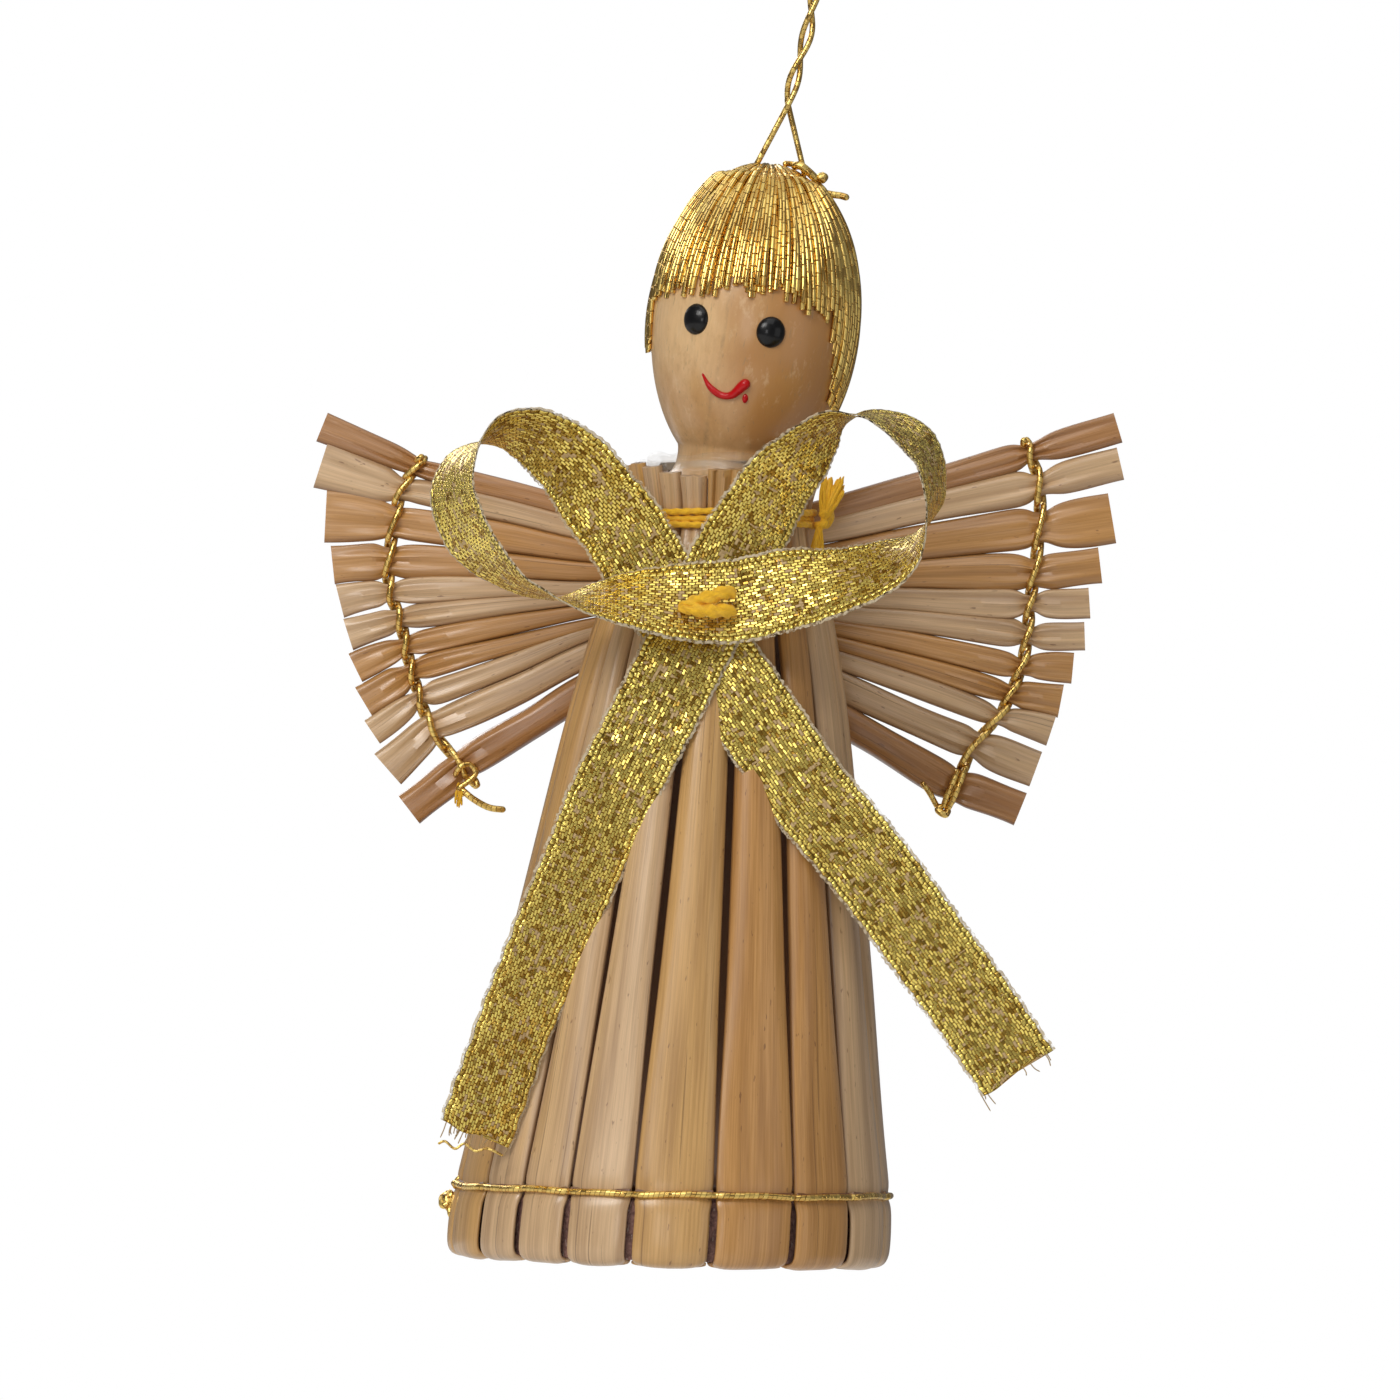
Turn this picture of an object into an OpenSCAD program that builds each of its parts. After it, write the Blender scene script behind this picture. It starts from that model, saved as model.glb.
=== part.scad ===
// Straw angel: a hanging ornament of flattened straws with a wooden head,
// gold thread hair, straw wings and a ribbon bow.
// Millimetres. The dressed figure is laid out upright first, with x to the
// right, y away from the front and z up from the hem. hang() then moves it
// under its loop, so that the loop's top is the origin and the cord is plumb.

/* [Hanging] */
// Lean of the figure's layout, taken out when it hangs on its cord
lean = 9.6; // [8.5:0.1:10.5]
// Thickness of the gold thread
thread_d = 0.5; // [0.4:0.05:0.55]
// Distance from the top of the loop to where the two legs part
join_drop = 20.3; // [19:0.1:21]
// Height of the loop's open eye
eye_h = 7; // [6:0.5:9]

/* [Head] */
// Height of the wooden egg from its foot to its crown
head_h = 24.75; // [24:0.05:25]
// Largest radius of the wooden egg
head_r = 8.4; // [8:0.1:8.6]
// Radius of the flat foot under the head
head_foot_r = 5.1; // [4.8:0.1:5.4]
// Thickness of the layer of hair threads
hair_t = 0.45; // [0.35:0.05:0.6]

/* [Dress] */
// Number of straws round the dress
dress_straws = 16; // [16:1:16]
// Radius of the ring of straws at the top of the neck
neck_r = 7.9; // [7.6:0.1:8.2]
// Radius of the ring of straws at the hem
hem_r = 17.7; // [17:0.1:18.4]
// Thickness of a flattened straw
straw_t = 0.5; // [0.4:0.05:0.55]
// Gap between neighbouring straws at the hem
straw_gap = 0.35; // [0.2:0.05:0.6]
// Height of the card hoop inside the hem
hoop_h = 4.9; // [4:0.1:5]

/* [Wings] */
// Number of straws that run from wing tip to wing tip
wing_straws = 11; // [11:1:11]
// Height of the bundle where the straws are tied
wing_bundle_h = 10.6; // [10:0.1:11]

/* [Bow] */
// Width of the ribbon
ribbon_w = 7.3; // [6.4:0.1:7.6]
// Thickness of the ribbon
ribbon_t = 0.24; // [0.15:0.01:0.3]
// Thickness of the cotton thread that ties the neck and stitches the bow
cotton_d = 0.9; // [0.7:0.05:1]

/* [Hidden] */
$fn = 48;
CORD_SIDES = 8;
STRAW_COLOURS = ["burlywood", "tan", "wheat", "peru", "sandybrown"];

// Two-digit number used in node names
function two(i) = i < 10 ? str("0", i) : str(i);

// ---- Where the figure hangs ----

// Top of the loop in the upright layout
hook = [13, 0, 116.5];

// Moves the upright layout under the top of the loop, with the cord plumb
module hang() {
    rotate([0, -lean, 0])
        translate(-hook)
            children();
}

// ---- Skins and sweeps ----

// Closed skin through rings of points that all have the same count. Both
// halves of a ring split their four-sided faces along the same diagonal, so
// that a thin twisted strip keeps its thickness.
module skin(rings) {
    count = len(rings[0]);
    last = len(rings) - 1;
    points = [for (ring = rings) each ring];
    sides = [
        for (i = [0:last - 1], j = [0:count - 1])
            let (a = i * count + j, b = i * count + (j + 1) % count)
                each j < count / 2
                    ? [[a, b, b + count], [a, b + count, a + count]]
                    : [[a, b, a + count], [b, b + count, a + count]]
    ];
    start_cap = [[for (j = [count - 1:-1:0]) j]];
    end_cap = [[for (j = [0:count - 1]) last * count + j]];
    polyhedron(points = points, faces = concat(start_cap, sides, end_cap));
}

function unit(v) = v / norm(v);

// Direction of travel at point i of a route
function travel(route, i) =
    unit(route[min(i + 1, len(route) - 1)] - route[max(i - 1, 0)]);

// Two directions across a route, the first as near as can be to the given one
function across(direction, guide) =
    let (side = unit(cross(direction, guide)))
        [unit(cross(side, direction)), side];

// Ring of points round one point of a route
function cord_ring(centre, direction, r, guide) =
    let (frame = across(direction, guide))
        [for (k = [CORD_SIDES - 1:-1:0])
            centre + r * (cos(360 * k / CORD_SIDES) * frame[0]
                + sin(360 * k / CORD_SIDES) * frame[1])];

// Round cord along a route
module cord(route, d, guide = [0, 1, 0]) {
    skin([for (i = [0:len(route) - 1])
        cord_ring(route[i], travel(route, i), d / 2, guide)]);
}

// Straight round cord with ball ends
module stitch(from, to, d) {
    direction = to - from;
    turn = [0, acos(direction[2] / norm(direction)), atan2(direction[1], direction[0])];
    translate(from) sphere(d / 2);
    translate(to) sphere(d / 2);
    translate(from) rotate(turn) cylinder(h = norm(direction), r = d / 2);
}

// ---- Hanging cord, laid out below the top of the loop ----

twist_r = 0.38;
twist_pitch = 8;
eye_w = 3.2;
leg_feet = [[-2.4, 0, -25.3], [1.8, 0, -25.7]];

// A point on one strand of the twisted pair; side is 0 or 180
function twist_point(drop, side) =
    let (turn = side + 360 * (join_drop - drop) / twist_pitch - 90)
        [twist_r * cos(turn), twist_r * sin(turn), -drop];

twist_steps = 14;
eye_steps = 14;
twist_top = eye_h + 1.2;

// Strand from the join up to the eye
function twist_route(side) =
    [for (i = [0:twist_steps])
        twist_point(join_drop + (twist_top - join_drop) * i / twist_steps, side)];

// Pointed oval of the eye, from one foot round its top to the other
function eye_point(turn) = [
    eye_w / 2 * sin(turn) * (1 - 0.25 * cos(turn)),
    0,
    thread_d / 2 - eye_h * (1 + cos(turn)) / 2
];
eye_route = [for (i = [1:eye_steps - 1]) eye_point(-360 * i / eye_steps)];

module hanger_loop() {
    color("goldenrod")
        cord(concat(
            twist_route(0),
            eye_route,
            [for (i = [twist_steps:-1:0]) twist_route(180)[i]]
        ), thread_d, [0, 1, 0]);
}

module hanger_legs() {
    color("goldenrod")
        for (i = [0, 1]) {
            top = twist_point(join_drop, 180 * (1 - i));
            cord([leg_feet[i], (leg_feet[i] + top) / 2, top - [0, 0, 0.05]], thread_d);
        }
}

// ---- Head, laid out on its own foot ----

head_place = [4.75, 0, 66.75];
head_tilt = 6.5;
head_wide_h = 11.8;
head_low_reach = 13.5;
foot_turn = -acos(head_foot_r / head_r);
nape_turn = -36;
egg_step = 6;

// A point of the egg's outline, which is two half ellipses, grown outward by more
function egg_point(turn, more) =
    let (reach = turn > 0 ? head_h - head_wide_h : head_low_reach)
        [(head_r + more) * cos(turn), head_wide_h + (reach + more) * sin(turn)];

// The outline from one turn up to the crown
function egg_outline(from, more) = concat(
    [egg_point(from, more)],
    [for (turn = [ceil(from / egg_step) * egg_step + egg_step:egg_step:84])
        egg_point(turn, more)],
    [[0, head_h + more]]
);

// Radius of the egg at height h
function egg_r(h) =
    let (reach = h > head_wide_h ? head_h - head_wide_h : head_low_reach)
        head_r * sqrt(max(0, 1 - pow((h - head_wide_h) / reach, 2)));

module place_head() {
    translate(head_place) rotate([0, head_tilt, 0]) children();
}

module egg() {
    rotate_extrude()
        polygon(concat([[0, 0], [head_foot_r, 0]], egg_outline(foot_turn, 0)));
}

module head() {
    color("peru") place_head() egg();
}

// A point on the egg: turn is measured from the front towards +x
function on_egg(turn, h, lift) =
    let (r = egg_r(h) + lift)
        [r * sin(turn), -r * cos(turn), h];

eye_ball_r = 1.9;
eye_sink = 1.35;

// Domed drop of paint, cut off where it sits on the wood
module eye_drop(turn, h) {
    difference() {
        translate(on_egg(turn, h, -eye_sink)) sphere(eye_ball_r);
        egg();
    }
}

module left_eye() {
    color("black") place_head() eye_drop(-34.5, 11.6);
}

module right_eye() {
    color("black") place_head() eye_drop(10.8, 11.25);
}

// Smile as [turn, height] on the egg, from its thin left end
smile = [[-28, 7], [-23, 6], [-15.5, 5.4], [-8.2, 5.5], [-2.2, 6.3], [1.7, 6.8]];
smile_d = 0.6;
smile_dot = [0.5, 5.3];

// How far the dot stands clear of the wood beyond its own radius
smile_dot_lift = 0.1;

module mouth() {
    color("firebrick") place_head() {
        cord([for (p = smile) on_egg(p[0], p[1], smile_d / 2)], smile_d, [0, -1, 0]);
        translate(on_egg(smile_dot[0], smile_dot[1], smile_d / 2 + smile_dot_lift)) sphere(smile_d / 2);
    }
}

fringe_h = 14.7;
face_turns = [-61, 51];

// Space between the wood and the threads that lie on it
hair_gap = 0.04;

// Cap of hair threads, open over the face
module hair() {
    window_r = 14;
    color("darkgoldenrod") place_head()
        difference() {
            rotate_extrude()
                difference() {
                    polygon(concat([[0, head_wide_h]], egg_outline(nape_turn, hair_t)));
                    polygon(concat([[0, head_wide_h - 1]], egg_outline(nape_turn - 2, hair_gap)));
                }
            translate([0, 0, -1])
                linear_extrude(fringe_h + 1)
                    polygon(concat([[0, 0]], [for (t = [face_turns[0]:16:face_turns[1]])
                        [window_r * sin(t), -window_r * cos(t)]]));
        }
}

// Knot of the hanging cord on the crown, with its cut tail
crown_ball = [11.9, 0, 90.7];
crown_ball_r = 0.42;
crown_tail = [[12.8, 0, 89], [13.5, 0, 88.95], [14.1, 0, 88.8]];
crown_tail_d = 0.55;

module crown_knot() {
    color("gold") {
        translate(crown_ball) sphere(crown_ball_r);
        cord(crown_tail, crown_tail_d);
    }
}

// ---- Dress ----

// x of the dress's leaning centre line at height z
function dress_x(z) = 3.3 + 0.0733 * (z - 60);

// Share of the full turn that each straw takes, from the left side round the front
share = [22, 16, 15.5, 18, 22, 23, 21, 22.5, 25, 25, 25, 25, 25, 25, 25, 25];
first_turn = -82;

function sum_to(list, n) = n == 0 ? 0 : list[n - 1] + sum_to(list, n - 1);

function straw_turn(i) = first_turn + sum_to(share, i - 1) + share[i - 1] / 2;

// A point of the dress: its rings sit level at the neck and dip to the right at the hem
function dress_point(turn, r, z) = [
    dress_x(z) + r * sin(turn),
    -r * cos(turn),
    z - 0.03 * r * sin(turn) * (1 - z / 67)
];

// How much each straw stands above or below the common neck line
neck_rise = [0.3, 0, -0.5, -0.8, -0.3, -0.2, 0.2, 0, 0.1, -0.2, 0.2, 0, -0.3, 0.1, 0, 0.2];

// Side view of a straw as [radius, height], from the neck down, round the
// bottom of the hoop and a little way up inside it
function straw_side(rise) = [
    [neck_r, 66.4 + rise],
    [6.95, 62.3],
    [7.6, 58],
    [9, 53.5],
    [11.2, 43.5],
    [14.2, 26],
    [hem_r - 0.25, 8],
    [hem_r, 6.2],
    [hem_r + 0.45, 3.6],
    [hem_r + 0.3, 1.2],
    [hem_r - 0.35, 0.26],
    [hem_r - 1.3, 0.26],
    [hem_r - 1.95, 1],
    [hem_r - 2.05, 4.6]
];

// Flat rounded section of a straw, as [share of half width, share of half thickness]
straw_section = [
    [-1, 0], [-0.85, 0.85], [0, 1], [0.85, 0.85],
    [1, 0], [0.85, -0.85], [0, -1], [-0.85, -0.85]
];

module dress_straw(i) {
    side = straw_side(neck_rise[i - 1]);
    turn = straw_turn(i);
    last = len(side) - 1;
    color(STRAW_COLOURS[i % len(STRAW_COLOURS)])
        skin([for (k = [0:last])
            let (step = unit(side[min(k + 1, last)] - side[max(k - 1, 0)]))
                let (out = [-step[1], step[0]])
                    let (r = side[k][0])
                        let (half = share[i - 1] / 2 - straw_gap / 2 / r * 180 / PI)
                            [for (p = straw_section)
                                dress_point(
                                    turn + half * p[0],
                                    r + out[0] * p[1] * straw_t / 2,
                                    side[k][1] + out[1] * p[1] * straw_t / 2
                                )]]);
}

// Rings tied or fitted round the dress at height z
module dress_ring(z) {
    dip = atan(0.03 * (1 - z / 67));
    translate([dress_x(z), 0, z]) rotate([0, dip, 0]) children();
}

hoop_out_r = hem_r - 0.45;
hoop_in_r = hem_r - 1.25;

module hem_hoop() {
    color("rosybrown")
        dress_ring(0.7)
            rotate_extrude($fn = 96)
                translate([hoop_in_r, 0])
                    square([hoop_out_r - hoop_in_r, hoop_h]);
}

hem_thread_z = 6.2;
hem_thread_r = hem_r + straw_t / 2 + thread_d / 2 + 0.02;

module hem_thread() {
    color("gold")
        dress_ring(hem_thread_z)
            rotate_extrude($fn = 96)
                translate([hem_thread_r, 0]) circle(thread_d / 2);
}

knot_r = 0.5;

module hem_thread_knot() {
    left = dress_x(hem_thread_z) - hem_thread_r;
    color("gold")
        translate([left - 1.5 * knot_r, 0, hem_thread_z - 0.8]) sphere(knot_r);
}

// ---- Neck ----

tie_z = 62.3;
tie_pitch = 0.66;
tie_d = 0.8;

// The outer turns stand off where the straws splay above and below the waist
tie_r = 6.95 + straw_t / 2 + tie_d / 2 + 0.05;
tie_spread = 0.2;

module neck_tie() {
    color("orange")
        dress_ring(tie_z)
            rotate_extrude($fn = 64)
                for (i = [-1:1])
                    translate([tie_r + tie_spread * abs(i), i * tie_pitch]) circle(tie_d / 2);
}

// Knot of the neck tie on the right, with one end up and one down
tie_knot = [11.9, -1.6, 61.9];
tie_end_up = [[12.1, -2.2, 62.6], [12.7, -2.6, 65.2]];
tie_end_down = [[11.9, -2.2, 61.2], [11.6, -2.6, 59.2]];

module neck_tie_ends() {
    color("darkgoldenrod") {
        translate(tie_knot) sphere(tie_d);
        for (end = [tie_end_up, tie_end_down])
            stitch(end[0], end[1], cotton_d);
    }
}

// Plug of clear glue inside the straw tops, with a bead round the head's foot
module neck_glue() {
    color("lightgray")
        difference() {
            translate([dress_x(64), 0, 0])
                rotate_extrude()
                    polygon([
                        [0, 63], [6.2, 63], [6.9, 65], [7.2, 66], [6.9, 66.9], [0, 66.9]
                    ]);
            place_head() egg();
        }
}

// ---- Wings ----

wing_x = 2.1;

// Each list runs from the top straw to the bottom one
tip_z = [70.1, 66.5, 62.2, 58.2, 55.2, 52.4, 49.6, 46.8, 44.4, 41.3, 37.8];
left_tip = [32.1, 32.2, 31.8, 31.2, 30.6, 29.9, 29.3, 28.6, 27.9, 26.6, 24.8];
right_tip = [34.6, 34.8, 34.1, 33.1, 32.2, 31.8, 30.8, 29.8, 29, 27.7, 26.4];
tip_w = [2.2, 3.6, 4.3, 3.3, 2.8, 2.5, 2.3, 3, 2.1, 3.2, 3];
left_pinch = [24.2, 25.4, 26, 26.5, 26.4, 25.6, 25.1, 24.6, 23.9, 22.9, 20.4];
right_pinch = [27.2, 28, 28, 27.6, 27.2, 27, 26.5, 25.6, 24.6, 22.5, 21];
left_pinch_z = [66.5, 64.7, 62, 58.7, 56.1, 53.9, 51.6, 49.4, 47.2, 44.6, 41.4];
right_pinch_z = [67.6, 65.1, 61.4, 57.7, 55, 52.4, 49.8, 47.6, 45.6, 43.2, 39.8];
pinch_w = [1.4, 2, 2.8, 2.7, 1.6, 1.7, 1.5, 1.7, 1.3, 2.5, 2.9];
wide_w = [1.4, 1.9, 3, 2.5, 1.9, 1.9, 1.8, 1.9, 1.9, 3, 2.9];
left_root_z = [63, 61.4, 59.5, 57.8, 56.5, 55.5, 54.4, 53.2, 52.3, 50.6, 47.8];
right_root_z = [63, 61.2, 59.2, 57.3, 55.8, 54.5, 53.2, 52, 50.8, 48.8, 46.1];
root_w = [1.5, 1.6, 1.8, 1.3, 1, 0.9, 1, 1, 0.9, 1.9, 2.4];

root_reach = 10;
bundle_z = 57;
bundle_y = 9.85;
bundle_t = 1.3;

// How far behind the centre line the wing lies, by share of its reach
function wing_y(k) = 9.3 - 1.2 * k + 1.6 * k * k;

// Stations of one wing half from the bundle out: [reach, z, height, thickness]
function half_wing(i, tip, pinch, pinch_z, root_z) =
    let (root = [root_reach, root_z[i]], knot = [pinch[i], pinch_z[i]])
        let (end = [tip[i], tip_z[i]], wide = root + 0.82 * (knot - root))
            let (middle = root + 0.4 * (knot - root), flare = knot + 0.35 * (end - knot))
                [
                    [root[0], root[1], root_w[i], 0.9],
                    [middle[0], middle[1], (root_w[i] + wide_w[i]) / 2, 0.6],
                    [wide[0], wide[1], wide_w[i], 0.5],
                    [knot[0], knot[1], pinch_w[i], 0.6],
                    [flare[0], flare[1], (pinch_w[i] + tip_w[i]) / 2, 0.5],
                    [end[0], end[1], tip_w[i], 0.45]
                ];

function wing_ring(x, y, z, tall, thick, slope) =
    [for (p = straw_section) [
        x - tall / 2 * p[0] * sin(slope),
        y - thick / 2 * p[1],
        z + tall / 2 * p[0] * cos(slope)
    ]];

// Rings of one wing half; side is -1 for the left and 1 for the right
function wing_rings(stations, side) =
    [for (k = [0:len(stations) - 1])
        let (a = stations[max(k - 1, 0)], b = stations[min(k + 1, len(stations) - 1)])
            let (s = stations[k], slope = atan2(b[1] - a[1], side * (b[0] - a[0])))
                wing_ring(wing_x + side * s[0], wing_y(s[0] / 35), s[1], s[2], s[3],
                    side < 0 ? slope - 180 : slope)];

module wing_straw(n) {
    i = n - 1;
    left = wing_rings(half_wing(i, left_tip, left_pinch, left_pinch_z, left_root_z), -1);
    right = wing_rings(half_wing(i, right_tip, right_pinch, right_pinch_z, right_root_z), 1);
    middle_z = bundle_z + wing_bundle_h * (0.5 - (i + 0.5) / wing_straws);
    middle_y = bundle_y + 0.28 * max(0, 57 - middle_z);
    middle = wing_ring(wing_x + 0.9, middle_y, middle_z, wing_bundle_h / wing_straws - 0.08,
        bundle_t, 0);
    color(STRAW_COLOURS[(n + 2) % len(STRAW_COLOURS)])
        skin(concat(
            [for (k = [len(left) - 1:-1:0]) left[k]],
            [middle],
            right
        ));
}

// Side view of the bundle as [y, z]: it follows the dress's slope
bundle_side = [
    [bundle_y - bundle_t / 2, 62.5], [bundle_y + bundle_t / 2, 62.5],
    [bundle_y + bundle_t / 2, 57], [bundle_y + bundle_t / 2 + 1.55, 51.5],
    [bundle_y - bundle_t / 2 + 1.55, 51.5], [bundle_y - bundle_t / 2, 57]
];
lashing_w = 2.4;
lashing_t = 0.55;

// Cotton lashing round the middle of the bundle, behind the dress
module wing_tie() {
    color("orange")
        translate([wing_x + 0.9 - lashing_w / 2, 0, 0])
            rotate([90, 0, 90])
                linear_extrude(lashing_w)
                    difference() {
                        offset(delta = lashing_t + 0.1) polygon(bundle_side);
                        offset(delta = 0.1) polygon(bundle_side);
                    }
}

// Beads of clear glue between the dress and the bundle
module wing_glue() {
    color("lightgray")
        for (x = [-1.2, 7.4])
            translate([x, 8, 57.5]) sphere(0.6);
}

// How far each strand of a wing's thread lies from the middle of the straws
strand_spread = 0.62;

// Two strands along the pinched line of a wing, one before and one behind the straws
module wing_thread(reach, height, side) {
    for (face = [-1, 1])
        cord([for (i = [0:wing_straws - 1])
            [wing_x + side * reach[i], wing_y(reach[i] / 35) + face * strand_spread, height[i]]],
            thread_d, [0, 1, 0]);
}

module left_wing_thread() {
    color("gold") wing_thread(left_pinch, left_pinch_z, -1);
}

module right_wing_thread() {
    color("gold") wing_thread(right_pinch, right_pinch_z, 1);
}

// Knot and loose end of a wing's thread, just below its lowest straw
left_knot = [-18.2, 8.9, 39];
left_loose_end = [[-18, 8.4, 39], [-16.5, 8.2, 38.2], [-14.6, 8.2, 37.8]];
right_knot = [22.2, 8.9, 37.4];
right_loose_end = [[22, 8.4, 37.7], [20.8, 8.2, 39], [20, 8.2, 40.3]];

module wing_knot(place, loose_end) {
    translate(place) sphere(knot_r);
    cord(loose_end, thread_d);
}

module left_wing_knot() {
    color("gold") wing_knot(left_knot, left_loose_end);
}

module right_wing_knot() {
    color("gold") wing_knot(right_knot, right_loose_end);
}

// ---- Bow: one length of ribbon from the right tail to the left tail ----

// Stations as [x, y, z, roll]: roll 0 shows the ribbon flat, 90 shows its edge
right_tail = [
    [28, -8, 16.2, 0], [24.3, -8.8, 21.6, 0], [20.8, -9.6, 26.3, 0], [17.7, -10.4, 30.6, 0],
    [14.1, -11, 35.2, 0], [10.7, -11.5, 39.2, 0], [7.5, -11.7, 43.8, 0], [4.7, -11.4, 47.8, 0],
    [2.1, -10.5, 51.2, 0]
];
left_loop = [
    [2.1, -10.5, 51.2, 0], [-0.7, -9.7, 54.8, 0], [-3, -9.3, 58.4, 0], [-5, -9.4, 61.6, 5],
    [-6.5, -9.6, 63.3, 12], [-8, -9.8, 65.5, 22], [-9.7, -10, 67.2, 32], [-12, -10.2, 68.7, 46],
    [-14.3, -10.4, 69.1, 64], [-16.3, -10.6, 68.4, 88], [-17.5, -10.9, 67.4, 103],
    [-18.4, -11.2, 66.1, 113], [-18.8, -11.5, 64.4, 120], [-18.5, -11.8, 62.8, 124],
    [-17.5, -12.1, 60.5, 123], [-15.8, -12.4, 58.5, 117], [-13.3, -12.7, 56.6, 105],
    [-11.3, -12.9, 55.8, 96], [-10, -13, 55.4, 88], [-8.1, -13, 55.3, 73]
];
front_band = [
    [-8.1, -13, 55.3, 73], [-6.1, -12.8, 55.3, 61], [-3.3, -12.6, 55.3, 45],
    [0.5, -12.4, 55.1, 27], [4.7, -12.3, 55.2, 16], [8.8, -12.4, 56.1, 18]
];
right_loop = [
    [8.8, -12.4, 56.1, 18], [12.8, -12.8, 56.8, 38], [16, -13.2, 57.7, 50],
    [18.2, -13.3, 58.9, 63], [19.5, -13.2, 60.1, 78], [20.2, -13, 61.2, 88],
    [20.7, -12.8, 62.3, 95], [21.1, -12.5, 63.7, 103], [21, -12.2, 65.3, 107],
    [20.6, -12, 67, 110], [19.6, -11.8, 68.5, 113], [17.9, -11.5, 69.8, 108],
    [15.7, -11.2, 70.6, 99], [14, -11, 70.4, 88], [12.6, -10.8, 69.8, 70],
    [11.3, -10.5, 68.5, 56], [9.8, -10.2, 66.8, 43], [8.2, -10, 65.1, 33],
    [6.5, -9.9, 62.4, 24], [4.8, -10, 59.5, 12], [3, -10.5, 55.8, 0]
];
left_tail = [
    [3, -10.5, 55.8, 0], [0.8, -11.3, 51.6, 0], [-1.3, -12.1, 47.4, 0], [-3.3, -12.4, 43.6, 0],
    [-5.8, -12.8, 38.7, 8], [-7.5, -13.1, 34.7, 16], [-10.5, -13.4, 27.8, 24],
    [-13.8, -13.6, 19.7, 28], [-16.9, -13.4, 11.1, 30]
];
ribbon = concat(
    right_tail,
    [for (k = [1:len(left_loop) - 1]) left_loop[k]],
    [for (k = [1:len(front_band) - 1]) front_band[k]],
    [for (k = [1:len(right_loop) - 1]) right_loop[k]],
    [for (k = [1:len(left_tail) - 1]) left_tail[k]]
);

function ribbon_place(k) = [ribbon[k][0], ribbon[k][1], ribbon[k][2]];

// Ring of four corners round station k of the whole ribbon
function ribbon_ring(k) =
    let (before = ribbon_place(max(k - 1, 0)))
        let (after = ribbon_place(min(k + 1, len(ribbon) - 1)))
            let (go = unit(after - before))
                let (right_hand = unit([go[2], 0, -go[0]]), roll = ribbon[k][3])
                    let (edge = cos(roll) * right_hand - sin(roll) * [0, 1, 0])
                        let (face = unit(cross(go, edge)), half = ribbon_w / 2 * edge)
                            let (skin_half = ribbon_t / 2 * face, c = ribbon_place(k))
                                [
                                    c + half - skin_half, c + half + skin_half,
                                    c - half + skin_half, c - half - skin_half
                                ];

// Stretch of the ribbon between two of its stations
module ribbon_stretch(from, to) {
    color("goldenrod")
        skin([for (k = [from:to]) ribbon_ring(k)]);
}

tail_end = len(right_tail) - 1;
left_loop_end = tail_end + len(left_loop) - 1;
band_end = left_loop_end + len(front_band) - 1;
right_loop_end = band_end + len(right_loop) - 1;

module bow_right_tail() {
    ribbon_stretch(0, tail_end);
}

module bow_left_loop() {
    ribbon_stretch(tail_end, left_loop_end);
}

module bow_front_band() {
    ribbon_stretch(left_loop_end, band_end);
}

module bow_right_loop() {
    ribbon_stretch(band_end, right_loop_end);
}

module bow_left_tail() {
    ribbon_stretch(right_loop_end, len(ribbon) - 1);
}

// Ends of the two cotton strands over the front band, from the left
stitch_strands = [
    [[0, -13.25, 55.5], [2.4, -13.35, 55.85], [4.8, -13.2, 56.3]],
    [[0, -13.85, 54.8], [2.4, -13.75, 54.7], [4.8, -13.6, 54.6]]
];

module bow_stitch() {
    color("orange")
        for (strand = stitch_strands)
            cord(strand, cotton_d);
}

// ---- Nodes ----

hanger_loop();
hanger_legs();
hang() crown_knot();
hang() hair();
hang() head();
hang() left_eye();
hang() right_eye();
hang() mouth();
hang() neck_glue();
hang() neck_tie();
hang() neck_tie_ends();
for (i = [1:dress_straws])
    hang() dress_straw(i);
hang() hem_hoop();
hang() hem_thread();
hang() hem_thread_knot();
for (i = [1:wing_straws])
    hang() wing_straw(i);
hang() wing_tie();
hang() wing_glue();
hang() left_wing_thread();
hang() left_wing_knot();
hang() right_wing_thread();
hang() right_wing_knot();
hang() bow_right_tail();
hang() bow_left_loop();
hang() bow_front_band();
hang() bow_right_loop();
hang() bow_left_tail();
hang() bow_stitch();
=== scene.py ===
"""Straw angel ornament: a figure of flattened straws with a wooden head, gold thread hair,
straw wings and a ribbon bow, hanging on a loop of gold thread."""
import math

import bpy
import numpy as np
from mathutils import Matrix, Vector


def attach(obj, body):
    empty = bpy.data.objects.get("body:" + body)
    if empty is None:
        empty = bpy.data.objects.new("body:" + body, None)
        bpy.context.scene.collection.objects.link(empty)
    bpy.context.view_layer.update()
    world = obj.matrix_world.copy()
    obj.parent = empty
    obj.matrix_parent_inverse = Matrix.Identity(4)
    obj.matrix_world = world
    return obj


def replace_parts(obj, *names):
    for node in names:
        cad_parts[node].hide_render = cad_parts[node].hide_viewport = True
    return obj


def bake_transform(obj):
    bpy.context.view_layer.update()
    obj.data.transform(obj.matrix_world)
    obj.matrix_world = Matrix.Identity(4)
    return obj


bl_info = {
    "name": "Straw Angel Ornament",
    "version": (1, 0, 0),
    "blender": (4, 5, 0),
    "location": "View3D > Sidebar > Straw Angel",
    "description": "Builds the looks of a hanging straw angel round its packed frame",
    "category": "Add Mesh",
}

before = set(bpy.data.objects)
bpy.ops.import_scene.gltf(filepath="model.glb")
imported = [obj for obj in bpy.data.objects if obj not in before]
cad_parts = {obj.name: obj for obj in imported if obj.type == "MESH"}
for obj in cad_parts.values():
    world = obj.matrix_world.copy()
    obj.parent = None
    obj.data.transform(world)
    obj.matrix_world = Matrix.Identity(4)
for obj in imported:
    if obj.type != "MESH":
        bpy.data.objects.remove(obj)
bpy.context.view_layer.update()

MM = 0.001
ANGEL = "angel"

# ---- The figure's own layout, in millimetres: upright, x to the right, y away from the front ----

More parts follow.
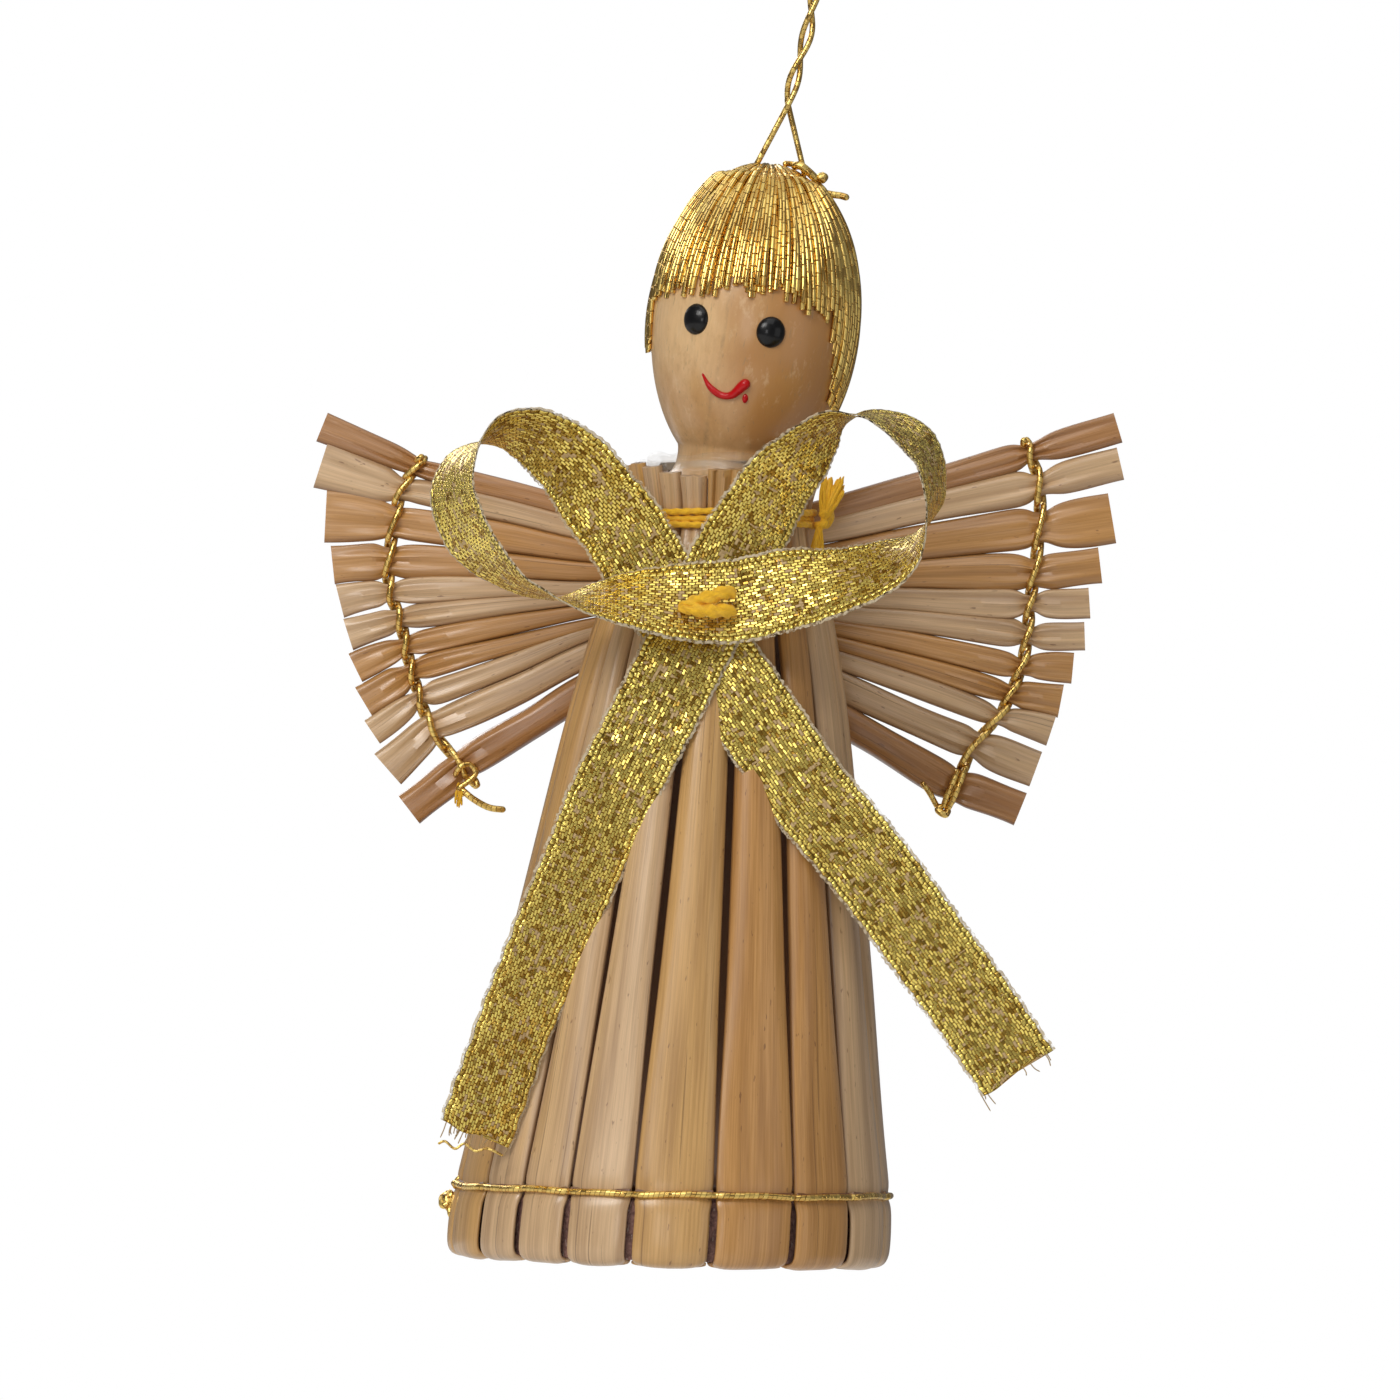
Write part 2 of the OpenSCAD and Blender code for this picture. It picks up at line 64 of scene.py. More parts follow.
LEAN = math.radians(9.6)
HOOK = np.array([13.0, 0.0, 116.5])


def hang(points):
    """Upright layout to the part's own frame in metres: less the hook, then turned by -LEAN about Y."""
    p = np.asarray(points, float) - HOOK
    c, s = math.cos(LEAN), math.sin(LEAN)
    return np.stack([c * p[..., 0] - s * p[..., 2], p[..., 1], s * p[..., 0] + c * p[..., 2]], -1) * MM


# ---- Curves and surfaces ----


def spline(stations, count):
    """Catmull-Rom curve through the stations at count even steps: on each stretch b to c, half of
    2b + (c - a)f + (2a - 5b + 4c - d)f^2 + (3b - a - 3c + d)f^3, with a and d the stations beside it."""
    p = np.asarray(stations, float)
    p = np.vstack([2 * p[:1] - p[1:2], p, 2 * p[-1:] - p[-2:-1]])
    t = np.linspace(0, len(p) - 3, count)
    k = np.minimum(t.astype(int), len(p) - 4)
    f = (t - k)[:, None]
    a, b, c, d = p[k], p[k + 1], p[k + 2], p[k + 3]
    return 0.5 * (2 * b + (c - a) * f + (2 * a - 5 * b + 4 * c - d) * f**2 + (3 * b - a - 3 * c + d) * f**3)


def unit(v):
    """v over its length, along the last axis."""
    return v / np.maximum(np.linalg.norm(v, axis=-1, keepdims=True), 1e-12)


def along(path):
    """Distance along a path at each of its points: the running sum of its steps."""
    return np.concatenate([[0.0], np.cumsum(np.linalg.norm(np.diff(path, axis=0), axis=1))])


def smooth(lo, hi, x):
    """Smooth step: 3t^2 - 2t^3 for t from 0 at lo to 1 at hi."""
    t = np.clip((np.asarray(x, float) - lo) / (hi - lo), 0, 1)
    return t * t * (3 - 2 * t)


def bump_at(x, centre, width):
    """Bell of height 1 at centre: exp(-((x - centre) / width)^2)."""
    return np.exp(-(((x - centre) / width) ** 2))


def patch(rings, u, v, loop=False):
    """Closed skin through m rings of n points. A loop joins its last ring to its first, and otherwise each
    end is closed by a fan to its ring's centre. u has n + 1 values round a ring, and v has one for each
    ring and one more on a loop. Faces are turned outward, so that the enclosed volume, a sum of
    a . (b x c), comes out positive."""
    m, n = rings.shape[:2]
    points = rings.reshape(-1, 3)
    u, v = np.asarray(u, float), np.asarray(v, float)
    i, j = np.meshgrid(np.arange(m if loop else m - 1), np.arange(n), indexing="ij")
    i, j = i.ravel(), j.ravel()
    near, far, left, right = (i % m) * n, ((i + 1) % m) * n, j, (j + 1) % n
    quads = np.stack([near + left, near + right, far + right, far + left], 1)
    quad_uv = np.stack([
        np.stack([u[j], v[i]], 1), np.stack([u[j + 1], v[i]], 1),
        np.stack([u[j + 1], v[i + 1]], 1), np.stack([u[j], v[i + 1]], 1)], 1)
    tris, tri_uv = np.zeros((0, 3), int), np.zeros((0, 3, 2))
    if not loop:
        points = np.vstack([points, rings[0].mean(0), rings[-1].mean(0)])
        k = np.arange(n)
        nxt, base = (k + 1) % n, (m - 1) * n
        tris = np.vstack([
            np.stack([np.full(n, m * n), nxt, k], 1),
            np.stack([np.full(n, m * n + 1), base + k, base + nxt], 1)])
        middle = (u[k] + u[k + 1]) / 2
        first, last = np.full(n, v[0]), np.full(n, v[m - 1])
        tri_uv = np.concatenate([
            np.stack([np.stack([x, first], 1) for x in (middle, u[k + 1], u[k])], 1),
            np.stack([np.stack([x, last], 1) for x in (middle, u[k], u[k + 1])], 1)])
    q = points - points.mean(0)
    corners = np.vstack([quads[:, [0, 1, 2]], quads[:, [0, 2, 3]], tris])
    volume = np.einsum("ij,ij->", q[corners[:, 0]], np.cross(q[corners[:, 1]], q[corners[:, 2]]))
    if volume < 0:
        quads, quad_uv, tris, tri_uv = quads[:, ::-1], quad_uv[:, ::-1], tris[:, ::-1], tri_uv[:, ::-1]
    return points, quads, tris, quad_uv, tri_uv


def piece(name, patches, material, body=ANGEL, crease=50, shade_at=None):
    """Mesh object from closed patches, smooth but for edges sharper than crease degrees, riding on a body.
    shade_at gives each vertex its share of painted shade, for the gaps and hollows that the light hardly
    reaches, as a float attribute of its points that the straw finish reads."""
    points, faces, uvs, start = [], [], [], 0
    for p, quads, tris, quad_uv, tri_uv in patches:
        points.append(p)
        faces += (quads + start).tolist() + (tris + start).tolist()
        uvs += [quad_uv.reshape(-1), tri_uv.reshape(-1)]
        start += len(p)
    mesh = bpy.data.meshes.new(name)
    mesh.from_pydata(np.vstack(points).tolist(), [], faces)
    layer = mesh.uv_layers.new(name="UVMap")
    layer.data.foreach_set("uv", np.concatenate(uvs).astype(np.float32))
    # Painted shade: each point's share of the dark brown that the straw finish paints for shade
    if shade_at is not None:
        values = np.zeros(start, np.float32)
        values[:len(shade_at)] = shade_at
        mesh.attributes.new("Recess", "FLOAT", "POINT").data.foreach_set("value", values)
    mesh.polygons.foreach_set("use_smooth", np.ones(len(mesh.polygons), bool))
    mesh.update()
    mesh.set_sharp_from_angle(angle=math.radians(crease))
    mesh.materials.append(material)
    obj = bpy.data.objects.new(name, mesh)
    bpy.context.scene.collection.objects.link(obj)
    if body:
        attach(obj, body)
    return obj


def square_to(path, guide):
    """Two directions square to a path: side, t x guide for its tangent t, and side x t, which is as near to
    guide as can be and comes first."""
    t = unit(np.gradient(path, axis=0))
    side = unit(np.cross(t, np.broadcast_to(np.asarray(guide, float), path.shape)))
    return unit(np.cross(side, t)), side


def cord_rings(path, radius, sides, guide, plies=0, lay=2.0, depth=0.0):
    """Rings round a path: point = path + r (cos a n + sin a b). With plies, r is cut back between them by
    depth (1 - cos(plies (a - 2 pi s / lay))) / 2, so the plies wind round once in each lay of distance s."""
    path = np.asarray(path, float)
    n, b = square_to(path, guide)
    a = np.linspace(0, 2 * math.pi, sides, endpoint=False)[None, :]
    r = np.broadcast_to(np.asarray(radius, float).reshape(-1, 1), (len(path), sides))
    if plies:
        phase = 2 * math.pi * along(path)[:, None] / lay
        r = r * (1 - depth * (1 - np.cos(plies * (a - phase))) / 2)
    return path[:, None] + (r * np.cos(a))[..., None] * n[:, None] + (r * np.sin(a))[..., None] * b[:, None]


def cord_patch(path, radius, sides=10, guide=(0, 1, 0), place=hang, offset=0.0, **twist):
    """Round cord with ends rounded over one radius, as sqrt(1 - x^2). In its UV map, u is the share of a
    turn and v the distance in millimetres."""
    path = np.asarray(path, float)
    s = along(path)
    r = np.broadcast_to(np.asarray(radius, float), (len(path),)).copy()
    near = np.minimum(s, s[-1] - s) / np.maximum(r, 1e-6)
    r = r * np.sqrt(np.clip(1 - (1 - np.clip(near, 0, 1)) ** 2, 0.09, 1))
    rings = cord_rings(path, r, sides, guide, **twist)
    return patch(place(rings), np.linspace(0, 1, sides + 1), s + offset)


def ball_patch(centre, size, lumps):
    """Ball: rings at heights b sin e, with radii a cos e, for size [a, a, b], made uneven by
    lumps (sin(2a + 3e) + sin(5a) / 2), and closed at both poles."""
    sides = 36
    e = np.radians(np.linspace(-86, 86, sides // 2))[:, None]
    a = np.linspace(0, 2 * math.pi, sides, endpoint=False)[None, :]
    r = 1 + lumps * (np.sin(2 * a + 3 * e) + 0.5 * np.sin(5 * a))
    ring = np.stack([r * np.cos(e) * np.cos(a), r * np.cos(e) * np.sin(a), r * np.sin(e)], -1)
    return patch(hang(np.asarray(centre, float) + ring * size), np.linspace(0, 1, sides + 1),
                 np.linspace(0, 3 * max(size), sides // 2))


def flat_oval(count, edge, flat):
    """Flat oval round the full turn a: x = sign(cos a)|cos a|^edge, y = sign(sin a)|sin a|^flat."""
    a = np.linspace(0, 2 * math.pi, count, endpoint=False)
    c, s = np.cos(a), np.sin(a)
    return np.sign(c) * np.abs(c) ** edge, np.sign(s) * np.abs(s) ** flat


def round_u(x):
    """Distance round an oval from its x values: the running sum of their steps, closed at the end."""
    return np.concatenate([[0.0], np.cumsum(np.abs(np.diff(np.append(x, x[0]))))])


# ---- Materials ----


class Nodes:
    """Adds nodes to a tree: each keyword is an input by name, and takes a value or another node's output."""

    def __init__(self, tree):
        """Keeps the tree that the nodes go in."""
        self.tree = tree

    def feed(self, socket, value):
        """Links another node's output to a socket, or sets the socket to a plain value."""
        if isinstance(value, bpy.types.NodeSocket):
            self.tree.links.new(value, socket)
        else:
            socket.default_value = value

    def add(self, kind, inputs=None, **settings):
        """A new node with its inputs and settings."""
        made = self.tree.nodes.new(kind)
        for key, value in settings.items():
            setattr(made, key, value)
        for key, value in (inputs or {}).items():
            self.feed(made.inputs[key], value)
        return made

    def math(self, operation, a, b=0.0):
        """One Math node's output."""
        return self.add("ShaderNodeMath", {0: a, 1: b}, operation=operation).outputs[0]

    def remap(self, value, lo, hi, to_lo=0.0, to_hi=1.0):
        """A value from lo to hi taken smoothly to a new range."""
        made = self.add("ShaderNodeMapRange", {0: value, 1: lo, 2: hi, 3: to_lo, 4: to_hi},
                        interpolation_type="SMOOTHSTEP")
        return made.outputs[0]

    def mix(self, factor, a, b):
        """One colour between a and b, by factor."""
        return self.add("ShaderNodeMix", {0: factor, 6: a, 7: b}, data_type="RGBA").outputs[2]

    def between(self, factor, a, b):
        """One value between a and b, by factor."""
        return self.add("ShaderNodeMix", {0: factor, 2: a, 3: b}).outputs[0]

    def random(self, value):
        """Random value for each whole number."""
        return self.add("ShaderNodeTexWhiteNoise", {"W": value}, noise_dimensions="1D").outputs["Value"]

    def scaled(self, vector, scale):
        """A vector with each part multiplied."""
        return self.add("ShaderNodeVectorMath", {0: vector, 1: scale}, operation="MULTIPLY").outputs[0]

    def noise(self, vector, scale=1.0, detail=3.0, rough=0.55):
        """Value of a noise texture."""
        inputs = {"Vector": vector, "Scale": scale, "Detail": detail, "Roughness": rough}
        return self.add("ShaderNodeTexNoise", inputs).outputs["Fac"]


def group(name, inputs, outputs):
    """Empty node group with named float or vector sockets, and the helpers to fill it."""
    tree = bpy.data.node_groups.new(name, "ShaderNodeTree")
    for key, kind in inputs:
        tree.interface.new_socket(key, in_out="INPUT", socket_type="NodeSocket" + kind)
    for key, kind in outputs:
        tree.interface.new_socket(key, in_out="OUTPUT", socket_type="NodeSocket" + kind)
    nodes = Nodes(tree)
    return nodes, nodes.add("NodeGroupInput"), nodes.add("NodeGroupOutput")


def shared(name, make):
    """A node group by name, made on first use."""
    return bpy.data.node_groups.get(name) or make(name)


def put(nodes, sink, values):
    """Feeds results to a node's inputs by name, such as a group's output or a material's shader."""
    for key, value in values.items():
        nodes.feed(sink.inputs[key], value)


def straw_grain(name):
    """Lengthwise grain of a straw, whose UV map is in millimetres across and along it.
    Fine is the hair lines, Broad the slow bands, Speck the small brown marks, Crack the rare long
    splits, Height the relief."""
    n, source, sink = group(name, [("Vector", "Vector")],
                            [("Fine", "Float"), ("Broad", "Float"), ("Speck", "Float"), ("Crack", "Float"),
                             ("Height", "Float")])
    at = source.outputs["Vector"]
    fine = n.noise(n.scaled(at, (5.5, 0.10, 1)), 1.0, 4.0, 0.65)
    broad = n.noise(n.scaled(at, (0.8, 0.035, 1)), 1.0, 3.0)
    speck = n.noise(n.scaled(at, (2.6, 0.75, 1)), 1.0, 2.0)
    crack = n.remap(n.noise(n.scaled(at, (3.4, 0.028, 1)), 1.0, 1.0), 0.69, 0.715)
    relief = n.math("ADD", fine, n.math("MULTIPLY", broad, 0.6))
    put(n, sink, {"Fine": fine, "Broad": broad, "Speck": n.remap(speck, 0.67, 0.73), "Crack": crack,
                  "Height": n.math("SUBTRACT", relief, n.math("MULTIPLY", crack, 0.8))})
    return n.tree


def foil_wrap(name):
    """Flat metal foil wound round a thread, whose UV map is turns across and millimetres along.
    A slanted Seam parts it in lengths of Pitch. Tone is random for each length, and so is the lie of its
    face in Height."""
    n, source, sink = group(name, [("Vector", "Vector"), ("Pitch", "Float"), ("Slant", "Float")],
                            [("Seam", "Float"), ("Tone", "Float"), ("Height", "Float")])
    apart = n.add("ShaderNodeSeparateXYZ", {0: source.outputs["Vector"]})
    u, v = apart.outputs[0], apart.outputs[1]
    wave = n.math("PINGPONG", u, 0.5)
    slant = n.math("MULTIPLY", wave, source.outputs["Slant"])
    turn = n.math("ADD", n.math("DIVIDE", v, source.outputs["Pitch"]), slant)
    cell, inside = n.math("FLOOR", turn), n.math("FRACT", turn)
    tone_of, other = n.random(cell), n.random(n.math("ADD", cell, 0.37))
    seam = n.remap(n.math("ABSOLUTE", n.math("SUBTRACT", inside, 0.5)), 0.43, 0.49)
    tilt = n.math("MULTIPLY", n.math("SUBTRACT", inside, 0.5), n.math("SUBTRACT", other, 0.5))
    crown = n.math("SUBTRACT", 1.0, seam)
    height = n.math("ADD", n.math("MULTIPLY", tilt, 2.4), crown)
    put(n, sink, {"Seam": seam, "Tone": tone_of, "Height": height})
    return n.tree


def lurex_weave(name):
    """Woven metal ribbon, whose UV map is millimetres from the middle line and millimetres along.
    Gold dashes lie along it in staggered columns. A row of larger beads runs inside each edge, and clear
    yarn shows between and outside them. Half is half the ribbon's width. Gold is where metal lies and Tone
    how light it is painted: a random tone for each dash and bead that partly stands in for glints, darker at
    their rims. Bead is the two rows of beads, Rim the clear selvedge, Cover how much of the light is stopped,
    and Height the relief."""
    n, source, sink = group(name, [("Vector", "Vector"), ("Half", "Float")],
                            [("Gold", "Float"), ("Tone", "Float"), ("Height", "Float"), ("Bead", "Float"),
                             ("Cover", "Float"), ("Rim", "Float")])
    at = source.outputs["Vector"]
    apart = n.add("ShaderNodeSeparateXYZ", {0: at})
    u, v = apart.outputs[0], apart.outputs[1]
    waver = n.math("MULTIPLY", n.math("SUBTRACT", n.noise(n.scaled(at, (0.6, 0.6, 1))), 0.5), 0.16)
    from_edge = n.math("SUBTRACT", source.outputs["Half"], n.math("ABSOLUTE", u))

    def cells(width, length):
        """Cells of a width and length, each column half a cell past the last: three random values, and the
        place across and along, from -0.5 to 0.5."""
        across = n.math("DIVIDE", n.math("ADD", u, waver), width)
        column = n.math("FLOOR", across)
        down = n.math("ADD", n.math("DIVIDE", v, length), n.math("MULTIPLY", column, 0.5))
        corner = n.add("ShaderNodeCombineXYZ", {0: column, 1: n.math("FLOOR", down), 2: 0.5})
        random = n.add("ShaderNodeTexWhiteNoise", {"Vector": corner.outputs[0]}, noise_dimensions="3D")
        parts = n.add("ShaderNodeSeparateColor", {0: random.outputs["Color"]})
        x = n.math("SUBTRACT", n.math("FRACT", across), 0.5)
        y = n.math("SUBTRACT", n.math("FRACT", down), 0.5)
        return parts.outputs, x, y

    def dash(x, y, wide, long):
        """1 inside an oblong of half sizes wide and long, which fades at its rim."""
        return n.math("MULTIPLY", n.remap(n.math("ABSOLUTE", x), wide, wide - 0.16),
                      n.remap(n.math("ABSOLUTE", y), long, long - 0.12))

    def tilted(x, y, random):
        """A plane that leans by a random amount both ways over each cell."""
        return n.math("ADD", n.math("MULTIPLY", x, n.math("SUBTRACT", random[1], 0.5)),
                      n.math("MULTIPLY", y, n.math("SUBTRACT", random[2], 0.5)))

    random, x, y = cells(0.25, 0.56)
    slow = n.noise(n.scaled(at, (0.7, 2.2, 1)), 1.0, 2.0)
    body = n.math("GREATER_THAN", random[0], n.remap(slow, 0.5, 0.66, 0.03, 0.4))
    brick = dash(x, y, 0.5, 0.49)
    body_height = n.math("ADD", n.math("MULTIPLY", brick, 0.6),
                         n.math("MULTIPLY", tilted(x, y, random), 1.25))
    beads, bx, by = cells(0.5, 0.52)
    bead = dash(bx, by, 0.5, 0.48)
    from_middle = n.math("ADD", n.math("POWER", bx, 2.0), n.math("POWER", by, 2.0))
    dome = n.math("SUBTRACT", 1.0, n.math("MULTIPLY", 4.0, from_middle))
    bead_height = n.math("ADD", n.math("MULTIPLY", dome, 1.3), n.math("MULTIPLY", tilted(bx, by, beads), 3.2))
    ragged = n.math("ADD", from_edge, n.math("MULTIPLY", waver, 0.9))
    bead_band = n.math("MULTIPLY", n.remap(from_edge, 0.2, 0.28), n.remap(ragged, 0.95, 0.85))
    inner = n.remap(ragged, 0.2, 0.3)
    gold = n.math("MULTIPLY", inner, n.math("MAXIMUM", bead_band, body))
    # Painted glints and shade: a random brightness for each dash and bead, darker towards its rim
    lit = n.math("MULTIPLY", n.remap(random[0], 0.05, 0.8, 0.2, 1.0), n.remap(brick, 0.0, 1.0))
    bead_lit = n.math("MULTIPLY", n.remap(beads[0], 0.05, 0.3, 0.3, 1.2), n.remap(bead, 0.0, 1.0, 0.1, 1.0))
    curl = n.noise(n.scaled(at, (3.2, 2.6, 1)), 1.0, 2.0)
    yarn = n.remap(curl, 0.35, 0.65, -0.1, 0.12)
    cover = n.math("MAXIMUM", inner, n.remap(yarn, -0.08, 0.04, 0.08, 0.75))
    put(n, sink, {"Gold": gold, "Tone": n.between(bead_band, lit, bead_lit), "Bead": bead_band,
                  "Cover": cover,
                  "Height": n.between(inner, yarn, n.between(bead_band, body_height, bead_height)),
                  "Rim": n.math("SUBTRACT", 1.0, inner)})
    return n.tree


def material(name, **values):
    """New material with a Principled shader whose plain inputs are set directly."""
    made = bpy.data.materials.new(name)
    made.use_nodes = True
    nodes = Nodes(made.node_tree)
    shader = made.node_tree.nodes["Principled BSDF"]
    for key, value in values.items():
        shader.inputs[key.replace("_", " ")].default_value = value
    return made, nodes, shader


def uv_of(nodes):
    """The piece's own UV map."""
    return nodes.add("ShaderNodeTexCoord").outputs["UV"]


def local(nodes, scale):
    """Object coordinates, which are in metres, times scale: 1000 gives millimetres."""
    return nodes.scaled(nodes.add("ShaderNodeTexCoord").outputs["Object"], (scale, scale, scale))


def use(nodes, make, name, inputs):
    """A shared node group placed in a material with its own values."""
    made = nodes.add("ShaderNodeGroup", node_tree=shared(name, make))
    put(nodes, made, inputs)
    return made.outputs


def bumped(nodes, shader, height, distance, strength=1.0):
    """Feeds a height, whose full range is distance metres, to the shader's normal."""
    bump = nodes.add("ShaderNodeBump", {"Height": height, "Distance": distance, "Strength": strength})
    nodes.tree.links.new(bump.outputs[0], shader.inputs["Normal"])


def linear(colour):
    """Screen colour from 0 to 1 as the linear colour that a shader takes."""
    c = np.asarray(colour[:3], float)
    c = np.where(c <= 0.04045, c / 12.92, ((c + 0.055) / 1.055) ** 2.4)
    return (*c.tolist(), 1.0)


def shade(colour, factor):
    """A linear colour made darker or lighter."""
    return (*[min(1.0, x * factor) for x in colour[:3]], 1.0)


def tinted(colour, other, share):
    """A linear colour mixed with another."""
    return (*[a + (b - a) * share for a, b in zip(colour[:3], other[:3])], 1.0)


# Linear colours that the finishes' own colours are tinted with
RUSSET = (0.30, 0.11, 0.03, 1)
CREAM = (0.86, 0.72, 0.50, 1)
SPECK_BROWN = (0.16, 0.06, 0.02, 1)
# Painted shade for the gaps, hollows and shaded edges of the straws
PAINTED_SHADE_BROWN = (0.15, 0.055, 0.018, 1)
# Warm brown for the right of the head: partly the wood's own tone, partly painted shade
AMBER_AND_SHADE = (0.42, 0.17, 0.03, 1)
DEEP_AMBER = (0.36, 0.15, 0.03, 1)
PALE_WOOD = (0.92, 0.74, 0.5, 1)
# Painted shade round the ribbon's beads
PAINTED_BEAD_SHADE = (0.26, 0.15, 0.012, 1)
SELVEDGE = (0.86, 0.78, 0.60, 1)
# Painted glints on the cotton
PAINTED_COTTON_GLINT = (0.9, 0.6, 0.12, 1)
GLUE_DARK = (0.62, 0.48, 0.34, 1)
GLUE_PALE = (0.86, 0.76, 0.62, 1)
CARD_FLECK = (0.62, 0.50, 0.44, 1)


def straw_material(name, colour):
    """Flattened, dried straw: satin skin with hair lines along it, slow bands of tone, a few brown specks and
    splits, and painted shade in dark brown where the piece's point attribute of painted shade says so."""
    made, n, shader = material(name, Coat_Weight=0.6, Coat_Roughness=0.26, Specular_IOR_Level=0.55)
    grain = use(n, straw_grain, "Straw grain", {"Vector": uv_of(n)})
    brown = tinted(shade(colour, 0.62), RUSSET, 0.35)
    pale = tinted(shade(colour, 1.14), CREAM, 0.08)
    base = n.mix(n.remap(grain["Fine"], 0.3, 0.7), shade(colour, 0.9), pale)
    base = n.mix(n.remap(grain["Broad"], 0.42, 0.7, 0.0, 0.6), base, brown)
    base = n.mix(n.math("MULTIPLY", grain["Speck"], 0.6), base, SPECK_BROWN)
    base = n.mix(n.math("MULTIPLY", grain["Crack"], 0.5), base, shade(brown, 0.5))
    # Painted shade: dark brown where the straws meet, inside the dress and in the cut ends
    base = n.mix(n.add("ShaderNodeAttribute", attribute_name="Recess").outputs["Fac"], base, PAINTED_SHADE_BROWN)
    put(n, shader, {"Base Color": base, "Roughness": n.remap(grain["Fine"], 0.3, 0.7, 0.42, 0.28)})
    bumped(n, shader, grain["Height"], 0.00006, 0.45)
    return made


def wood_material(name, colour):
    """Turned wood under varnish: grain up the egg, a warm tone that deepens to the right, partly the wood's
    own colour and partly painted shade on the side away from the light, a soft mottle, pores and one broken
    line down the face."""
    made, n, shader = material(name, Coat_Weight=0.35, Coat_Roughness=0.16, Specular_IOR_Level=0.5)
    at = local(n, 1000)
    fine = n.noise(n.scaled(at, (2.6, 2.6, 0.3)), 1.0, 4.0, 0.6)
    soft = n.noise(n.scaled(at, (0.16, 0.16, 0.07)), 1.0, 3.0)
    pores = n.noise(n.scaled(at, (4.5, 4.5, 0.6)), 1.0, 2.0)
    base = n.mix(n.remap(fine, 0.3, 0.7), shade(colour, 0.93), shade(colour, 1.04))
    side = n.add("ShaderNodeSeparateXYZ", {0: at}).outputs[0]
    # Warmer and darker to the right: partly the wood's own colour, partly painted shade on the side away from
    # the light
    amber_and_shade = n.math("ADD", side, n.math("MULTIPLY", n.math("SUBTRACT", soft, 0.5), 16.0))
    base = n.mix(n.remap(amber_and_shade, -7.5, 2.0, 0.05, 1.0), base, tinted(colour, AMBER_AND_SHADE, 0.8))
    mottle = n.noise(n.scaled(at, (0.9, 0.9, 0.45)), 1.0, 5.0, 0.7)
    base = n.mix(n.remap(mottle, 0.5, 0.72, 0.0, 0.42), base, tinted(colour, DEEP_AMBER, 0.75))
    base = n.mix(n.remap(mottle, 0.46, 0.3, 0.0, 0.3), base, tinted(colour, PALE_WOOD, 0.6))
    from_seam = n.math("ADD", side, n.math("ADD", 1.9, n.math("MULTIPLY", soft, 1.6)))
    seam = n.remap(n.math("ABSOLUTE", from_seam), 0.0, 0.3)
    seam = n.math("MULTIPLY", n.math("SUBTRACT", 1.0, seam), n.remap(mottle, 0.38, 0.62, 0.05, 0.4))
    base = n.mix(seam, base, shade(colour, 0.4))
    base = n.mix(n.remap(pores, 0.64, 0.72, 0.0, 0.4), base, shade(colour, 0.4))
    put(n, shader, {"Base Color": base, "Roughness": n.remap(fine, 0.3, 0.7, 0.42, 0.3)})
    bumped(n, shader, n.math("ADD", fine, n.math("MULTIPLY", pores, 0.4)), 0.00005, 0.45)
    return made


def paint_material(name, colour, rough):
    """Thick drop of glossy paint, faintly uneven."""
    made, n, shader = material(name, Roughness=rough, Coat_Weight=0.3, Coat_Roughness=0.1,
                               Specular_IOR_Level=0.25)
    ripple = n.noise(local(n, 1400), 1.0, 2.0)
    put(n, shader, {"Base Color": n.mix(ripple, shade(colour, 0.8), shade(colour, 1.2))})
    bumped(n, shader, ripple, 0.00006, 0.5)
    return made


def foil_material(name, colour, deep, pitch, slant, rough):
    """Thread wrapped in gold foil: short bright lengths, each at its own angle, with dark seams."""
    made, n, shader = material(name, Metallic=1.0)
    foil = use(n, foil_wrap, "Foil wrap", {"Vector": uv_of(n), "Pitch": pitch, "Slant": slant})
    base = n.mix(foil["Tone"], tinted(colour, deep, 0.45), shade(colour, 1.12))
    put(n, shader, {"Base Color": n.mix(n.math("MULTIPLY", foil["Seam"], 0.8), base, shade(deep, 0.35)),
                    "Roughness": n.remap(foil["Tone"], 0.0, 1.0, rough * 0.7, rough * 1.6)})
    bumped(n, shader, foil["Height"], 0.00005, 0.9)
    return made


def ribbon_material(name, yarn, gold, deep, half):
    """Woven lurex ribbon: tiny gold dashes and a row of beads at each edge on a clear beige yarn."""
    made, n, shader = material(name)
    weave = use(n, lurex_weave, "Lurex weave", {"Vector": uv_of(n), "Half": half})
    # From the deep to the pale gold by Tone, which partly stands in for glints
    metal = n.mix(n.remap(weave["Tone"], 0.05, 0.75), deep, gold)
    # Painted shade: dark old gold round the rim of each bead, where the beads meet
    bead_rim_shade = n.math("MULTIPLY", weave["Bead"], n.remap(weave["Tone"], 0.16, 0.0))
    metal = n.mix(bead_rim_shade, metal, PAINTED_BEAD_SHADE)
    clear = n.mix(weave["Rim"], yarn, tinted(yarn, SELVEDGE, 0.55))
    put(n, shader, {"Base Color": n.mix(weave["Gold"], clear, metal),
                    "Metallic": n.math("MULTIPLY", weave["Gold"], 0.82),
                    "Roughness": n.remap(weave["Gold"], 0.0, 1.0, 0.55, 0.25), "Alpha": weave["Cover"]})
    bumped(n, shader, weave["Height"], 0.00011, 0.9)
    return made


